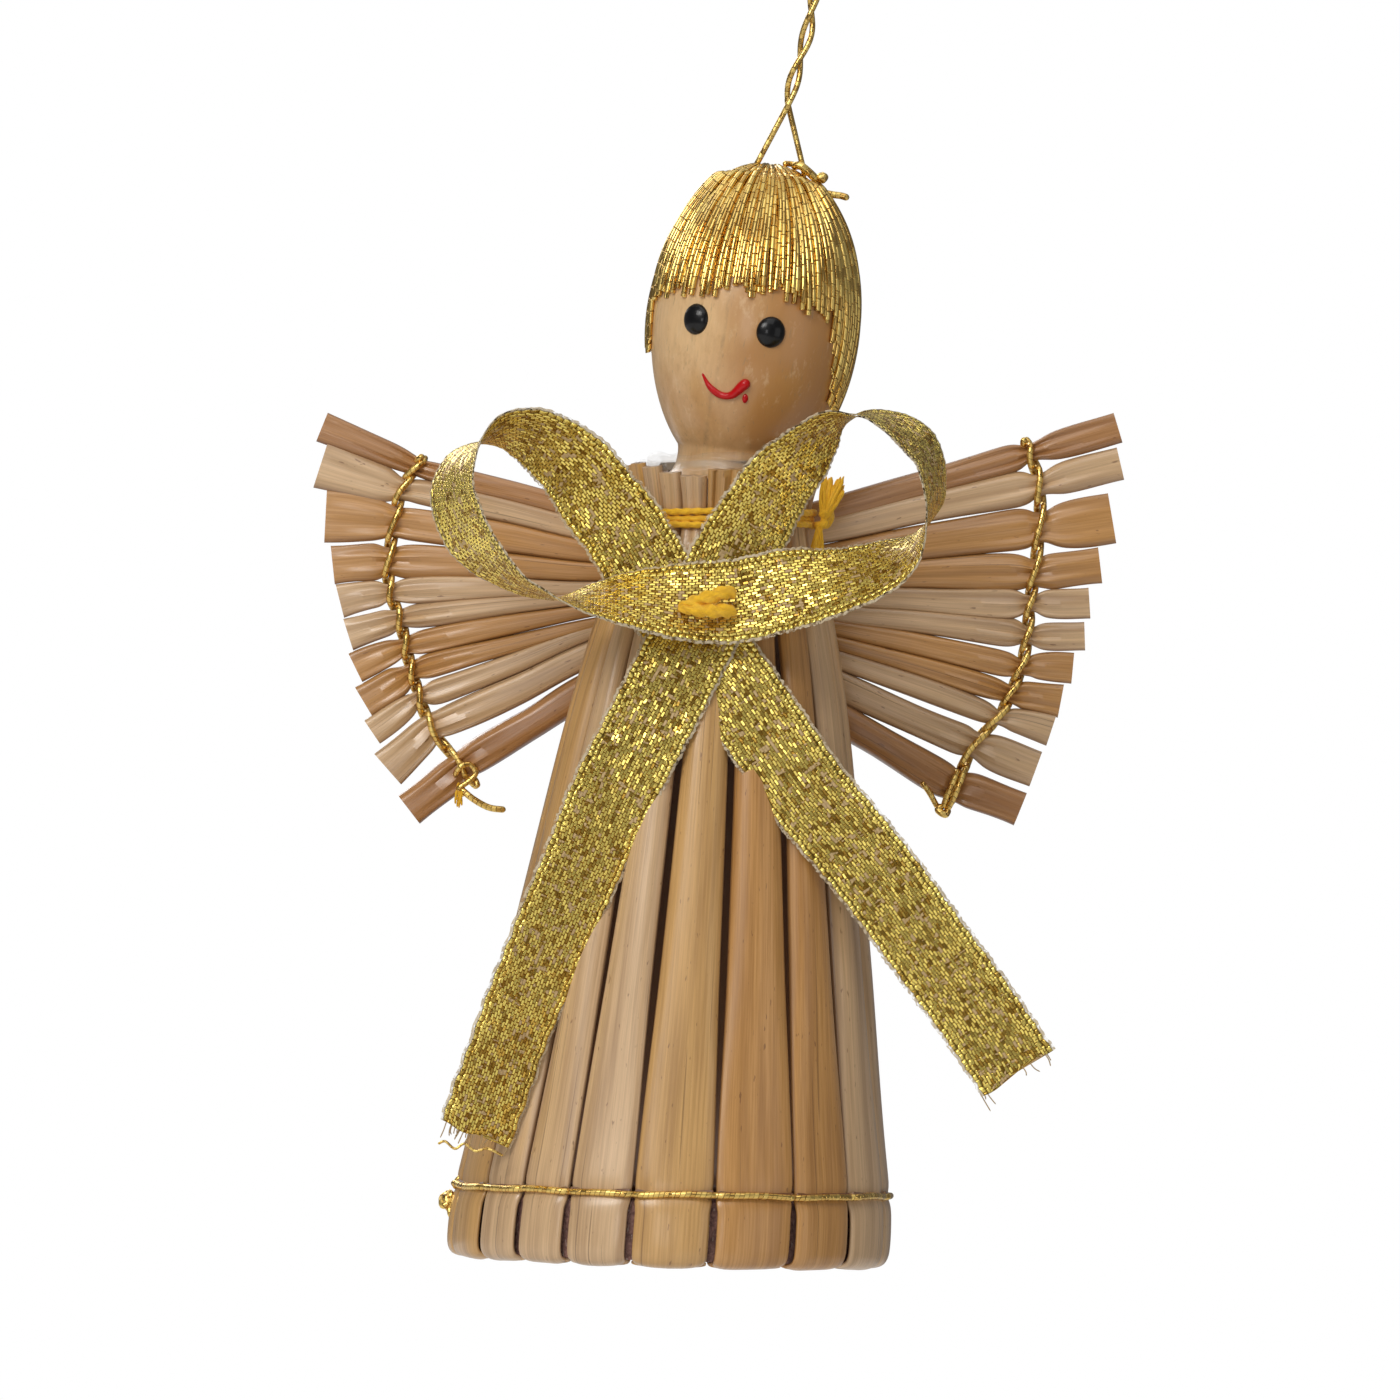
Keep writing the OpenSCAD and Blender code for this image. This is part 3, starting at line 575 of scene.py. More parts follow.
def cotton_material(name, colour):
    """Soft spun cotton: fine slanted fibres along the yarn, matt with a little sheen, and slow paler patches
    painted in as glints.
    """
    made, n, shader = material(name, Roughness=0.8, Sheen_Weight=0.12, Sheen_Roughness=0.5)
    at = uv_of(n)
    fibre = n.noise(n.scaled(at, (9.0, 1.6, 1)), 1.0, 4.0, 0.7)
    slow = n.noise(n.scaled(at, (1.2, 0.5, 1)), 1.0, 2.0)
    base = n.mix(n.remap(fibre, 0.3, 0.7), shade(colour, 0.74), shade(colour, 1.15))
    # Painted glints: slow patches tinted towards a paler gold
    base = n.mix(n.remap(slow, 0.4, 0.7, 0.0, 0.4), base, tinted(colour, PAINTED_COTTON_GLINT, 0.5))
    put(n, shader, {"Base Color": base})
    bumped(n, shader, fibre, 0.00009, 0.8)
    return made


def glue_material(name):
    """Clear hot glue, set in soft lumps: a thin warm film that shows mainly by its highlights."""
    made, n, shader = material(name, Roughness=0.06, Alpha=0.08, Coat_Weight=1.0, Coat_Roughness=0.04)
    lump = n.noise(local(n, 500), 1.0, 2.0)
    put(n, shader, {"Base Color": n.mix(lump, GLUE_DARK, GLUE_PALE)})
    bumped(n, shader, lump, 0.0003, 0.5)
    return made


def card_material(name, colour):
    """Rough greyish card with short fibres."""
    made, n, shader = material(name, Roughness=0.9, Specular_IOR_Level=0.2)
    at = local(n, 1000)
    fibre = n.noise(n.scaled(at, (2.4, 2.4, 2.4)), 1.0, 4.0, 0.7)
    fleck = n.noise(n.scaled(at, (5.0, 5.0, 1.5)), 1.0, 2.0)
    base = n.mix(n.remap(fibre, 0.3, 0.7), shade(colour, 0.6), shade(colour, 1.35))
    base = n.mix(n.remap(fleck, 0.62, 0.7, 0.0, 0.5), base, CARD_FLECK)
    put(n, shader, {"Base Color": base})
    bumped(n, shader, fibre, 0.0002, 1.0)
    return made


def yarn_material(name, colour):
    """Clear plastic yarn frayed from the ribbon's cut end."""
    made, n, shader = material(name, Roughness=0.35, Transmission_Weight=0.35, IOR=1.45)
    tone_noise = n.noise(n.scaled(uv_of(n), (3, 2, 1)))
    put(n, shader, {"Base Color": n.mix(tone_noise, shade(colour, 0.9), shade(colour, 1.1))})
    return made


# ---- Sizes and colours that a user would change ----


def colour_prop(name, description, value):
    """Screen colour property."""
    return bpy.props.FloatVectorProperty(name=name, description=description, subtype="COLOR_GAMMA", size=3,
                                         min=0.0, max=1.0, default=value)


def length_prop(name, description, millimetres):
    """Length property, kept in metres."""
    return bpy.props.FloatProperty(name=name, description=description, unit="LENGTH", subtype="DISTANCE",
                                   precision=5, min=0.0, default=millimetres * MM)


class AngelSizes(bpy.types.PropertyGroup):
    """Sizes of the pieces that are made anew round the frame."""

    thread_d: length_prop("Gold thread", "Thickness of the hanging cord and the tying thread", 0.5)
    strand_d: length_prop("Hair strand", "Thickness of one thread of hair", 0.47)
    straw_t: length_prop("Straw", "Thickness of a flattened straw", 0.5)
    ribbon_w: length_prop("Ribbon width", "Width of the bow's ribbon", 7.3)
    ribbon_t: length_prop("Ribbon thickness", "Thickness of the bow's ribbon", 0.18)
    tie_d: length_prop("Neck cotton", "Thickness of the cotton at the neck", 0.62)
    stitch_d: length_prop("Stitch cotton", "Thickness of the cotton over the bow", 1.3)
    foil_pitch: length_prop("Foil length", "Length of one turn of foil on a hair strand", 1.05)
    strands: bpy.props.IntProperty(name="Strands", description="Hair strands in each layer",
                                   default=106, min=40, max=120)


class AngelColours(bpy.types.PropertyGroup):
    """Colours of the finishes."""

    straw_light: colour_prop("Light straw", "Palest straws", (0.81, 0.67, 0.50))
    straw_tan: colour_prop("Tan straw", "Middle straws", (0.745, 0.535, 0.275))
    straw_gold: colour_prop("Golden straw", "Deeper straws", (0.785, 0.605, 0.355))
    straw_brown: colour_prop("Brown straw", "Darkest straws", (0.68, 0.47, 0.25))
    wood: colour_prop("Wood", "Varnished head", (0.91, 0.76, 0.56))
    foil: colour_prop("Foil", "Gold foil of the threads", (0.97, 0.83, 0.49))
    foil_deep: colour_prop("Foil shade", "Deep tone of the gold foil", (0.68, 0.43, 0.10))
    lurex: colour_prop("Lurex", "Gold of the ribbon", (1.0, 0.90, 0.47))
    lurex_deep: colour_prop("Lurex shade", "Deep tone of the ribbon's gold", (0.56, 0.39, 0.07))
    yarn: colour_prop("Yarn", "Clear beige yarn of the ribbon", (0.79, 0.67, 0.47))
    cotton: colour_prop("Cotton", "Yellow cotton of the ties", (0.98, 0.74, 0.13))
    card: colour_prop("Card", "Hoop inside the hem", (0.56, 0.42, 0.38))
    red: colour_prop("Red paint", "Mouth", (0.74, 0.02, 0.045))
    black: colour_prop("Black paint", "Eyes", (0.035, 0.035, 0.04))


def sizes():
    """The sizes as millimetres, by name."""
    held = bpy.context.scene.angel_sizes
    return {key: getattr(held, key) / MM for key in AngelSizes.__annotations__ if key != "strands"}


def tone(name):
    """One of the colours, made linear."""
    return linear(getattr(bpy.context.scene.angel_colours, name))


def finish(name):
    """A material by the name of its finish, made on first use."""
    label = "angel_" + name
    have = bpy.data.materials.get(label)
    if have:
        return have
    if name.startswith("straw_"):
        return straw_material(label, tone(name))
    size = sizes()
    foil, foil_deep = tone("foil"), tone("foil_deep")
    made = {
        "wood": lambda: wood_material(label, tone("wood")),
        "black_paint": lambda: paint_material(label, tone("black"), rough=0.32),
        "red_paint": lambda: paint_material(label, tone("red"), rough=0.3),
        "hair_thread": lambda: foil_material(label, foil, foil_deep, pitch=size["foil_pitch"],
                                             slant=0.5, rough=0.2),
        "gold_thread": lambda: foil_material(label, foil, foil_deep, pitch=0.42, slant=1.4, rough=0.26),
        "ribbon": lambda: ribbon_material(label, tone("yarn"), tone("lurex"), tone("lurex_deep"),
                                          size["ribbon_w"] / 2),
        "cotton": lambda: cotton_material(label, tone("cotton")),
        "glue": lambda: glue_material(label),
        "card": lambda: card_material(label, tone("card")),
        "yarn": lambda: yarn_material(label, tone("yarn")),
    }
    return made[name]()


def finish_node(node, name):
    """Gives a CAD node's own object one of the finishes."""
    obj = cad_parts[node]
    obj.data.materials.clear()
    obj.data.materials.append(finish(name))


# ---- Hanging cord, in millimetres below the top of the loop ----

JOIN_DROP = 20.3
EYE_H = 7.0
EYE_W = 3.2
TWIST_R = 0.38
TWIST_PITCH = 8.0
TWIST_TOP = EYE_H + 1.2
JOIN_BEND = 0.6
LEG_FEET = np.array([[-2.5, 0, -26.0], [1.8, 0, -26.0]])


def twist_points(side, count=24):
    """One strand of the twisted pair from the join up: a helix of radius TWIST_R and pitch TWIST_PITCH, which
    bends to the left by JOIN_BEND towards the join."""
    drop = np.linspace(JOIN_DROP, TWIST_TOP, count)
    turn = np.radians(side + 360 * (JOIN_DROP - drop) / TWIST_PITCH - 90)
    x = TWIST_R * np.cos(turn) - JOIN_BEND * smooth(13, JOIN_DROP, drop)
    return np.stack([x, TWIST_R * np.sin(turn), -drop], 1)


def eye_points(thread_d, count=14):
    """Pointed oval: x = w/2 sin t (1 - cos t / 4), z = d/2 - h (1 + cos t) / 2, for t round a full turn."""
    t = -2 * math.pi * np.arange(1, count) / count
    x = EYE_W / 2 * np.sin(t) * (1 - 0.25 * np.cos(t))
    return np.stack([x, 0 * t, thread_d / 2 - EYE_H * (1 + np.cos(t)) / 2], 1)


def cord_route(thread_d):
    """From the left foot up its leg, round the twist and the eye, and down to the right foot."""
    up, down = twist_points(0), twist_points(180)[::-1]
    return np.vstack([LEG_FEET[:1], (LEG_FEET[0] + up[0]) / 2, up, eye_points(thread_d), down,
                      (LEG_FEET[1] + down[-1]) / 2, LEG_FEET[1:]])


class ANGEL_OT_cord(bpy.types.Operator):
    """Hanging cord: one gold thread, twisted with itself under an open eye"""

    bl_idname = "angel.cord"
    bl_label = "Hanging Cord"

    def execute(self, context):
        d = sizes()["thread_d"]
        path = spline(cord_route(d), 520)
        obj = piece("hanging_cord", [cord_patch(path, d / 2, 10, place=lambda p: p * MM)],
                    finish("gold_thread"), body=None)
        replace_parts(obj, "hanger_loop", "hanger_legs")
        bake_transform(obj)
        return {"FINISHED"}


# ---- Head: a turned egg on its own foot, tilted to the right ----

HEAD_PLACE = np.array([4.75, 0, 66.75])
HEAD_TILT = math.radians(6.5)
HEAD_H = 24.75
HEAD_R = 8.4
HEAD_WIDE_H = 11.8
HEAD_LOW_REACH = 13.5
HEAD_FOOT_R = 5.1
HEAD_STEM = np.array([[5.7, -1.6], [5.35, -1.2], [5.12, -0.7], [5.02, -0.1], [5.0, 0.4], [5.03, 0.8]])


def place_head(points):
    """The egg's own frame to the upright layout: turned by HEAD_TILT about Y and set on the neck."""
    p = np.asarray(points, float)
    c, s = math.cos(HEAD_TILT), math.sin(HEAD_TILT)
    x, y, z = p[..., 0], p[..., 1], p[..., 2]
    return np.stack([c * x + s * z, y, c * z - s * x], -1) + HEAD_PLACE


def on_egg(turn, rise, lift=0.0):
    """Point of the egg: two half ellipses, r = HEAD_R cos rise and h = wide + reach sin rise, moved lift
    outward. turn is measured in degrees from the front towards +x, rise in degrees from the widest ring."""
    t, e = np.radians(turn), np.radians(rise)
    reach = np.where(e > 0, HEAD_H - HEAD_WIDE_H, HEAD_LOW_REACH)
    r = (HEAD_R + lift) * np.cos(e)
    h = HEAD_WIDE_H + (reach + lift) * np.sin(e)
    return np.stack(np.broadcast_arrays(r * np.sin(t), -r * np.cos(t), h), -1)


def rise_at(h):
    """Rise in degrees of the ring at height h."""
    h = np.asarray(h, float)
    reach = np.where(h > HEAD_WIDE_H, HEAD_H - HEAD_WIDE_H, HEAD_LOW_REACH)
    return np.degrees(np.arcsin(np.clip((h - HEAD_WIDE_H) / reach, -1, 1)))


def head_space(points):
    """From the egg's own frame to the part's."""
    return hang(place_head(points))


def painted_drop(turn, h, wide, tall, thick):
    """Domed oval on the wood: lift = thick (1 - q^2)^0.6 out to q = 1, then back under at a small depth."""
    dome, under = 16, 5
    q = np.concatenate([np.linspace(0.04, 1, dome), np.linspace(0.98, 0.1, under)])[:, None]
    lift = np.where(np.arange(dome + under)[:, None] < dome, thick * np.clip(1 - q**2, 0, 1) ** 0.6, -0.15)
    a = np.linspace(0, 2 * math.pi, 40, endpoint=False)[None, :]
    width_turn = np.degrees(wide / 2 / (HEAD_R * math.cos(math.radians(float(rise_at(h))))))
    rings = on_egg(turn + q * width_turn * np.cos(a), rise_at(h + q * tall / 2 * np.sin(a)), lift + 0 * a)
    return patch(head_space(rings), np.linspace(0, 1, 41), q[:, 0])


# The smile's line and its dot, as turn and height on the egg
SMILE = [[-28, 7], [-23, 6], [-15.5, 5.4], [-8.2, 5.5], [-2.2, 6.3], [1.7, 6.8]]
SMILE_DOT = (0.5, 5.3)


class ANGEL_OT_head(bpy.types.Operator):
    """Wooden egg head with two painted eyes and a painted smile"""

    bl_idname = "angel.head"
    bl_label = "Head and Face"

    def execute(self, context):
        foot = float(-math.degrees(math.acos(HEAD_FOOT_R / HEAD_R)))
        rise = np.linspace(foot, 89, 90)[:, None]
        turn = np.linspace(0, 360, 96, endpoint=False)[None, :]
        t = np.radians(turn)
        r, h = HEAD_STEM[:, :1], HEAD_STEM[:, 1:] + 0 * t
        foot_rings = np.stack([r * np.sin(t), -r * np.cos(t), h], -1)
        rings = np.concatenate([foot_rings, on_egg(turn, rise)])
        egg = patch(head_space(rings), np.linspace(0, 53, 97), np.linspace(-3, 30, 96))
        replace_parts(piece("wooden_head", [egg], finish("wood")), "head")
        for name, node, turn, h, wide in (("eye_left", "left_eye", -34.5, 11.4, 2.4),
                                          ("eye_right", "right_eye", 10.8, 11.0, 2.45)):
            eye = painted_drop(turn, h, wide, 2.6, 0.55)
            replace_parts(piece(name, [eye], finish("black_paint")), node)
        line = spline(SMILE, 60)
        path = on_egg(line[:, 0], rise_at(line[:, 1]), 0.06)
        share = np.linspace(0, 1, 60)
        swell = 0.1 + 0.2 * smooth(0, 0.3, share) + 0.15 * smooth(0.5, 0.85, share)
        stroke = cord_patch(path, swell, 12, (0, -1, 0), head_space)
        dot = painted_drop(*SMILE_DOT, 0.5, 0.75, 0.22)
        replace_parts(piece("smile", [stroke, dot], finish("red_paint")), "mouth")
        return {"FINISHED"}


# ---- Hair ----

FRINGE_TURNS = (-80, 51)
PARTING = 1.7
PARTING_REACH = 3.2


def strand_end(turn, draw):
    """Height on the egg at which a strand ends: a ragged fringe over the face, longer towards the right, with
    short locks beside the left cheek and long ones beside the right."""
    jag = draw.uniform(-1, 1)
    if FRINGE_TURNS[0] < turn < FRINGE_TURNS[1]:
        return 14.2 - 1.6 * smooth(15, 45, turn) - 0.9 * smooth(-15, -70, turn) + 0.8 * jag
    if -130 < turn <= FRINGE_TURNS[0]:
        return 8.9 + 0.6 * jag
    if FRINGE_TURNS[1] <= turn < 80:
        return 11.2 - 5.2 * smooth(52, 65, turn) + 0.9 * jag
    return 4.2 + 0.8 * jag


def strand(turn, end, lift, d, draw, offset, crest):
    """One thread from the parting down the egg, with a slow sideways waver: turn + w sin(k t + p). The
    parting is a short line over the crown: x grows by PARTING (turn / 90) exp(-(r / PARTING_REACH)^2), and z
    stays on the egg. Towards the crown a crest thread stays thick and stands on the thinner ones beside it,
    and all of them sink a little where the cord's feet swing over them. offset shifts the foil along it."""
    rise = np.linspace(87.5, float(rise_at(end)), 46)
    t = np.linspace(0, 1, 46)
    waver = draw.uniform(0.2, 0.9) * np.sin(draw.uniform(3, 7) * t + draw.uniform(0, 6)) * smooth(0, 0.3, t)
    stand = lift + 0.1 * np.sin(draw.uniform(4, 9) * t + draw.uniform(0, 6)) * smooth(0.1, 0.5, t)
    stand = stand + (draw.uniform(0.1, 0.3) if crest else -0.12) * smooth(0.7, 0.25, t)
    path = on_egg(turn + waver, rise, stand)
    across = 2 / math.pi * math.asin(math.sin(math.radians(turn)))
    near = np.hypot(path[:, 0], path[:, 1])
    path[:, 0] += PARTING * across * bump_at(near, 0, PARTING_REACH)
    spread = np.clip(1 - (path[:, 0] ** 2 + path[:, 1] ** 2) / HEAD_R**2, 0, 1)
    top = HEAD_WIDE_H + (HEAD_H - HEAD_WIDE_H) * np.sqrt(spread) + stand
    top = top - (0.32 if crest else 0.16) * smooth(3.6, 2.6, near)
    path[:, 2] += (top - path[:, 2]) * smooth(4.5, 3.0, near)
    room = 2 * math.pi * HEAD_R * np.cos(np.radians(rise)) / bpy.context.scene.angel_sizes.strands
    r = np.minimum(d / 2, (2.6 if crest else 0.9) * room + (0.14 if crest else 0.06))
    out = unit(path - np.array([0, 0, HEAD_WIDE_H]))
    tangent = unit(np.gradient(path, axis=0))
    side = unit(np.cross(tangent, out))
    a = np.linspace(0, 2 * math.pi, 8, endpoint=False)
    ring = np.cos(a)[:, None] * out[:, None] + np.sin(a)[:, None] * side[:, None]
    rings = path[:, None] + r[:, None, None] * ring
    return patch(head_space(rings), np.linspace(0, 1, 9), along(path) + offset)


class ANGEL_OT_hair(bpy.types.Operator):
    """Hair: two layers of foil-wrapped thread laid down from the crown, with crests in the upper one"""

    bl_idname = "angel.hair"
    bl_label = "Hair"

    def execute(self, context):
        draw = np.random.default_rng(11)
        d = sizes()["strand_d"]
        count = context.scene.angel_sizes.strands
        strands = []
        for layer, lift in ((0.5, 0.04), (0.0, 0.27)):
            for k in range(count):
                turn = -180 + 360 * (k + layer) / count + draw.uniform(-0.9, 0.9)
                end = strand_end(turn, draw) + 0.5 * layer
                crest = layer == 0 and k % 3 == 0
                strands.append(strand(turn, end, lift, d, draw, 37.3 * k + 11 * layer, crest))
        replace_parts(piece("hair_strands", strands, finish("hair_thread")), "hair")
        return {"FINISHED"}


class ANGEL_OT_crown(bpy.types.Operator):
    """Knot of the hanging cord on the crown, with its stitch and cut tail"""

    bl_idname = "angel.crown"
    bl_label = "Crown Knot"

    def execute(self, context):
        stitch = spline([[9.3, -0.6, 91.4], [10.0, -0.8, 91.5], [10.8, -0.8, 90.9], [11.4, -0.6, 90.3]], 30)
        tail = spline([[12.0, -0.2, 89.25], [12.8, 0, 89.1], [13.5, 0, 89.0], [14.1, 0, 88.8]], 30)
        wrap = spline([[8.6, -0.3, 91.7], [9.6, 0.5, 91.6], [10.8, 0.4, 91.0], [12.0, -0.1, 89.3]], 30)
        ball = ball_patch([11.85, -0.4, 90.5], [0.5, 0.5, 0.46], 0.06)
        patches = [cord_patch(stitch, 0.36), ball, cord_patch(tail, 0.3), cord_patch(wrap, 0.25)]
        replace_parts(piece("crown_thread", patches, finish("gold_thread")), "crown_knot")
        return {"FINISHED"}


# ---- Dress ----

HEM_R = 17.7
NECK_R = 7.9
WAIST_R = 6.95
TOP_Z = 66.4
SHARE = [22, 16, 15.5, 18, 22, 23, 21, 22.5, 25, 25, 25, 25, 25, 25, 25, 25]
FIRST_TURN = -82
NECK_RISE = [0.3, 0, -0.5, -0.8, -0.3, -0.2, 0.2, 0, 0.1, -0.2, 0.2, 0, -0.3, 0.1, 0, 0.2]
STRAW_GAP = 0.35
PLEAT_W = 0.13
HEM_THREAD_Z = 6.2
DRESS_TONES = ["gold", "light", "light", "light", "gold", "tan", "tan", "light",
               "light", "light", "tan", "gold", "light", "tan", "light", "gold"]


def dress_x(z):
    """x of the dress's leaning centre line at height z."""
    return 3.3 + 0.0733 * (z - 60)


def dress_point(turn, r, z):
    """Point of the dress: turn in degrees from the front, rings level at the neck and dipped at the hem."""
    t, r, z = np.broadcast_arrays(np.radians(turn), r, z)
    dip = 0.03 * r * np.sin(t) * (1 - z / 67)
    return np.stack([dress_x(z) + r * np.sin(t), -r * np.cos(t), z - dip], -1)


def straw_side(rise):
    """Side view of a straw as [radius, height]: neck, waist, hem, round the hoop and up inside it."""
    return [
        [NECK_R, TOP_Z + rise], [WAIST_R, 62.3], [7.6, 58], [9, 53.5], [11.2, 43.5], [14.2, 26],
        [HEM_R - 0.25, 8], [HEM_R, 6.2], [HEM_R + 0.3, 4.6], [HEM_R + 0.42, 2.4], [HEM_R + 0.32, 1.15],
        [HEM_R - 0.15, 0.6], [HEM_R - 1.3, 0.52], [HEM_R - 1.95, 1.2], [HEM_R - 2.05, 4.6],
    ]


def straw_turns():
    """Middle turn of each dress straw, from the running sum of the shares."""
    ends = FIRST_TURN + np.concatenate([[0], np.cumsum(SHARE)])
    return (ends[:-1] + ends[1:]) / 2


def dress_straw(index, turn, share, rise, thick, draw):
    """One straw of the dress, and the painted shade at each of its points: a dark share on its inner face,
    for the dim inside of the dress, and along its long edges beside the gaps. Its section is a flat oval
    with a crown k (1 - |x|^2.6), and one long edge stands prouder than the other. Towards the neck it is
    gathered in pleats, each a groove g exp(-((x - c) / PLEAT_W)^2), and the thread at the hem pinches it."""
    side = spline(straw_side(rise), 240)
    step = unit(np.gradient(side, axis=0))
    out = np.stack([-step[:, 1], step[:, 0]], 1)
    r, z = side[:, 0], side[:, 1]
    # The outer face ends at the lowest point that is well inside the hem, where the straw turns up again
    outer = np.arange(len(z)) < np.argmin(z + 9 * (r > HEM_R - 0.6))
    x, y = flat_oval(60, 0.42, 0.5)
    across = x[None, :]
    pinch = bump_at(z, HEM_THREAD_Z, 0.6) * outer
    gap = STRAW_GAP * (0.85 + 0.25 * draw.uniform(-1, 1)) - 0.16 * smooth(46, 60, z) + 0.15 * pinch
    gap = gap + draw.uniform(-0.05, 0.5) * smooth(8, 26, z) * smooth(60, 46, z)
    gap = gap + 0.42 * smooth(6, 4.6, z) * outer
    swing = 0.3 * np.sin(z / draw.uniform(9, 14) + draw.uniform(0, 6)) * smooth(7, 20, z)
    half = share / 2 - np.degrees(gap / 2 / r)
    centres = [-0.45, 0.42] if share > 20 else [draw.uniform(-0.2, 0.2)]
    pleat = sum(bump_at(across, c + draw.uniform(-0.08, 0.08), PLEAT_W) for c in centres)
    pleat = pleat * (0.34 * smooth(45, 60, z))[:, None]
    roll = (0.12 + 0.16 * smooth(48, 62, z))[:, None] * np.abs(across) ** 6
    crown = (0.11 + 0.6 * smooth(9, 30, z) * smooth(66, 52, z))[:, None] * (1 - np.abs(across) ** 2.6)
    lean = draw.choice([-1, 1]) * draw.uniform(0.03, 0.12) * smooth(3, 9, z)[:, None] * across
    wave = 0.05 * np.sin(z[:, None] / draw.uniform(5, 8) + 2.5 * across + draw.uniform(0, 6))
    level = np.where(outer, 1.0, 0.3)[:, None]
    shift = thick / 2 * y[None, :] + level * (crown - roll - pleat + lean + wave) - 0.14 * pinch[:, None]
    turns = turn + swing[:, None] * 0.6 + half[:, None] * across
    points = dress_point(turns, r[:, None] + out[:, :1] * shift, z[:, None] + out[:, 1:] * shift)
    # Painted shade: dark along the long edges beside the gaps, and on the inner face for the dim inside
    flank_shade = 0.6 * smooth(0.93, 1.0, np.abs(across)) * smooth(4, 9, z)[:, None] * smooth(66, 50, z)[:, None]
    painted_shade = np.maximum(0.9 * smooth(0.2, -0.5, y)[None, :], flank_shade) * outer[:, None]
    return patch(hang(points), round_u(x) * 3.0, along(side) + 53.0 * index), painted_shade.ravel()


class ANGEL_OT_dress(bpy.types.Operator):
    """Dress: sixteen flattened straws, gathered at the neck and folded under the hem's hoop"""

    bl_idname = "angel.dress"
    bl_label = "Dress"

    def execute(self, context):
        draw = np.random.default_rng(5)
        thick = sizes()["straw_t"]
        for i, turn in enumerate(straw_turns()):
            name = "straw_" + DRESS_TONES[i]
            straw, painted_shade = dress_straw(i, turn, SHARE[i], NECK_RISE[i], thick, draw)
            obj = piece(f"skirt_straw_{i + 1:02d}", [straw], finish(name), shade_at=painted_shade)
            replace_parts(obj, f"dress_straw_{i + 1:02d}")
        return {"FINISHED"}


class ANGEL_OT_hem(bpy.types.Operator):
    """Hem: the card hoop, and the gold thread that is knotted round it"""

    bl_idname = "angel.hem"
    bl_label = "Hem"

    def execute(self, context):
        s = sizes()
        finish_node("hem_hoop", "card")
        turn = np.linspace(0, 360, 1200, endpoint=False)
        ends = FIRST_TURN + np.cumsum(SHARE)
        # Degrees to the nearest gap between two straws, where the thread sinks in
        away = np.abs((turn[:, None] - ends[None, :] + 180) % 360 - 180).min(1)
        r = HEM_R + s["straw_t"] / 2 + s["thread_d"] / 2 - 0.02 - 0.32 * bump_at(away, 0, 1.3)
        z = HEM_THREAD_Z + 0.05 * np.sin(np.radians(turn * 7)) + 0.04 * np.sin(np.radians(turn * 17 + 40))
        path = dress_point(turn, r, z)
        rings = cord_rings(path, s["thread_d"] / 2 * 1.12, 10, (0, 0, 1))
        loop = patch(hang(rings), np.linspace(0, 1, 11), along(np.vstack([path, path[:1]])), loop=True)
        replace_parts(piece("hem_cord", [loop], finish("gold_thread")), "hem_thread")
        left = dress_x(HEM_THREAD_Z) - HEM_R - s["straw_t"] / 2 - s["thread_d"] / 2
        knot = spline([[left - 0.2, -0.6, 5.2], [left - 0.9, -0.4, 4.9], [left - 0.9, 0.3, 5.6],
                       [left - 0.2, 0.2, 5.7], [left - 0.5, -0.3, 5.0]], 50)
        up = spline([[left + 0.1, -0.4, 6.3], [left + 0.3, -0.9, 7.0], [left + 0.8, -1.0, 7.4]], 20)
        down = spline([[left - 0.4, -0.3, 5.2], [left - 0.3, -0.6, 4.2], [left + 0.1, -0.8, 3.6]], 20)
        ball = ball_patch([left - 0.35, -0.2, 5.3], [0.62, 0.62, 0.85], 0.08)
        patches = [ball, cord_patch(knot, 0.3, guide=(0, 0, 1)), cord_patch(up, 0.24), cord_patch(down, 0.24)]
        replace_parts(piece("hem_knot", patches, finish("gold_thread")), "hem_thread_knot")
        return {"FINISHED"}


# ---- Neck ----

TIE_Z = 62.1
TIE_PITCH = 0.52
TIE_SPREAD = 0.2


def fibre_tuft(root, tip, spread, count, d, draw):
    """Frayed cotton: fibres that leave one root and fan out round a tip, each bent a little on its way."""
    root, tip = np.asarray(root, float), np.asarray(tip, float)
    patches = []
    for k in range(count):
        end = tip + draw.uniform(-1, 1, 3) * spread
        middle = (root + end) / 2 + draw.uniform(-0.25, 0.25, 3)
        path = spline([root + draw.uniform(-0.12, 0.12, 3), middle, end], 14)
        patches.append(cord_patch(path, d / 2, 6, (0, 1, 0.1), offset=3.1 * k))
    return patches


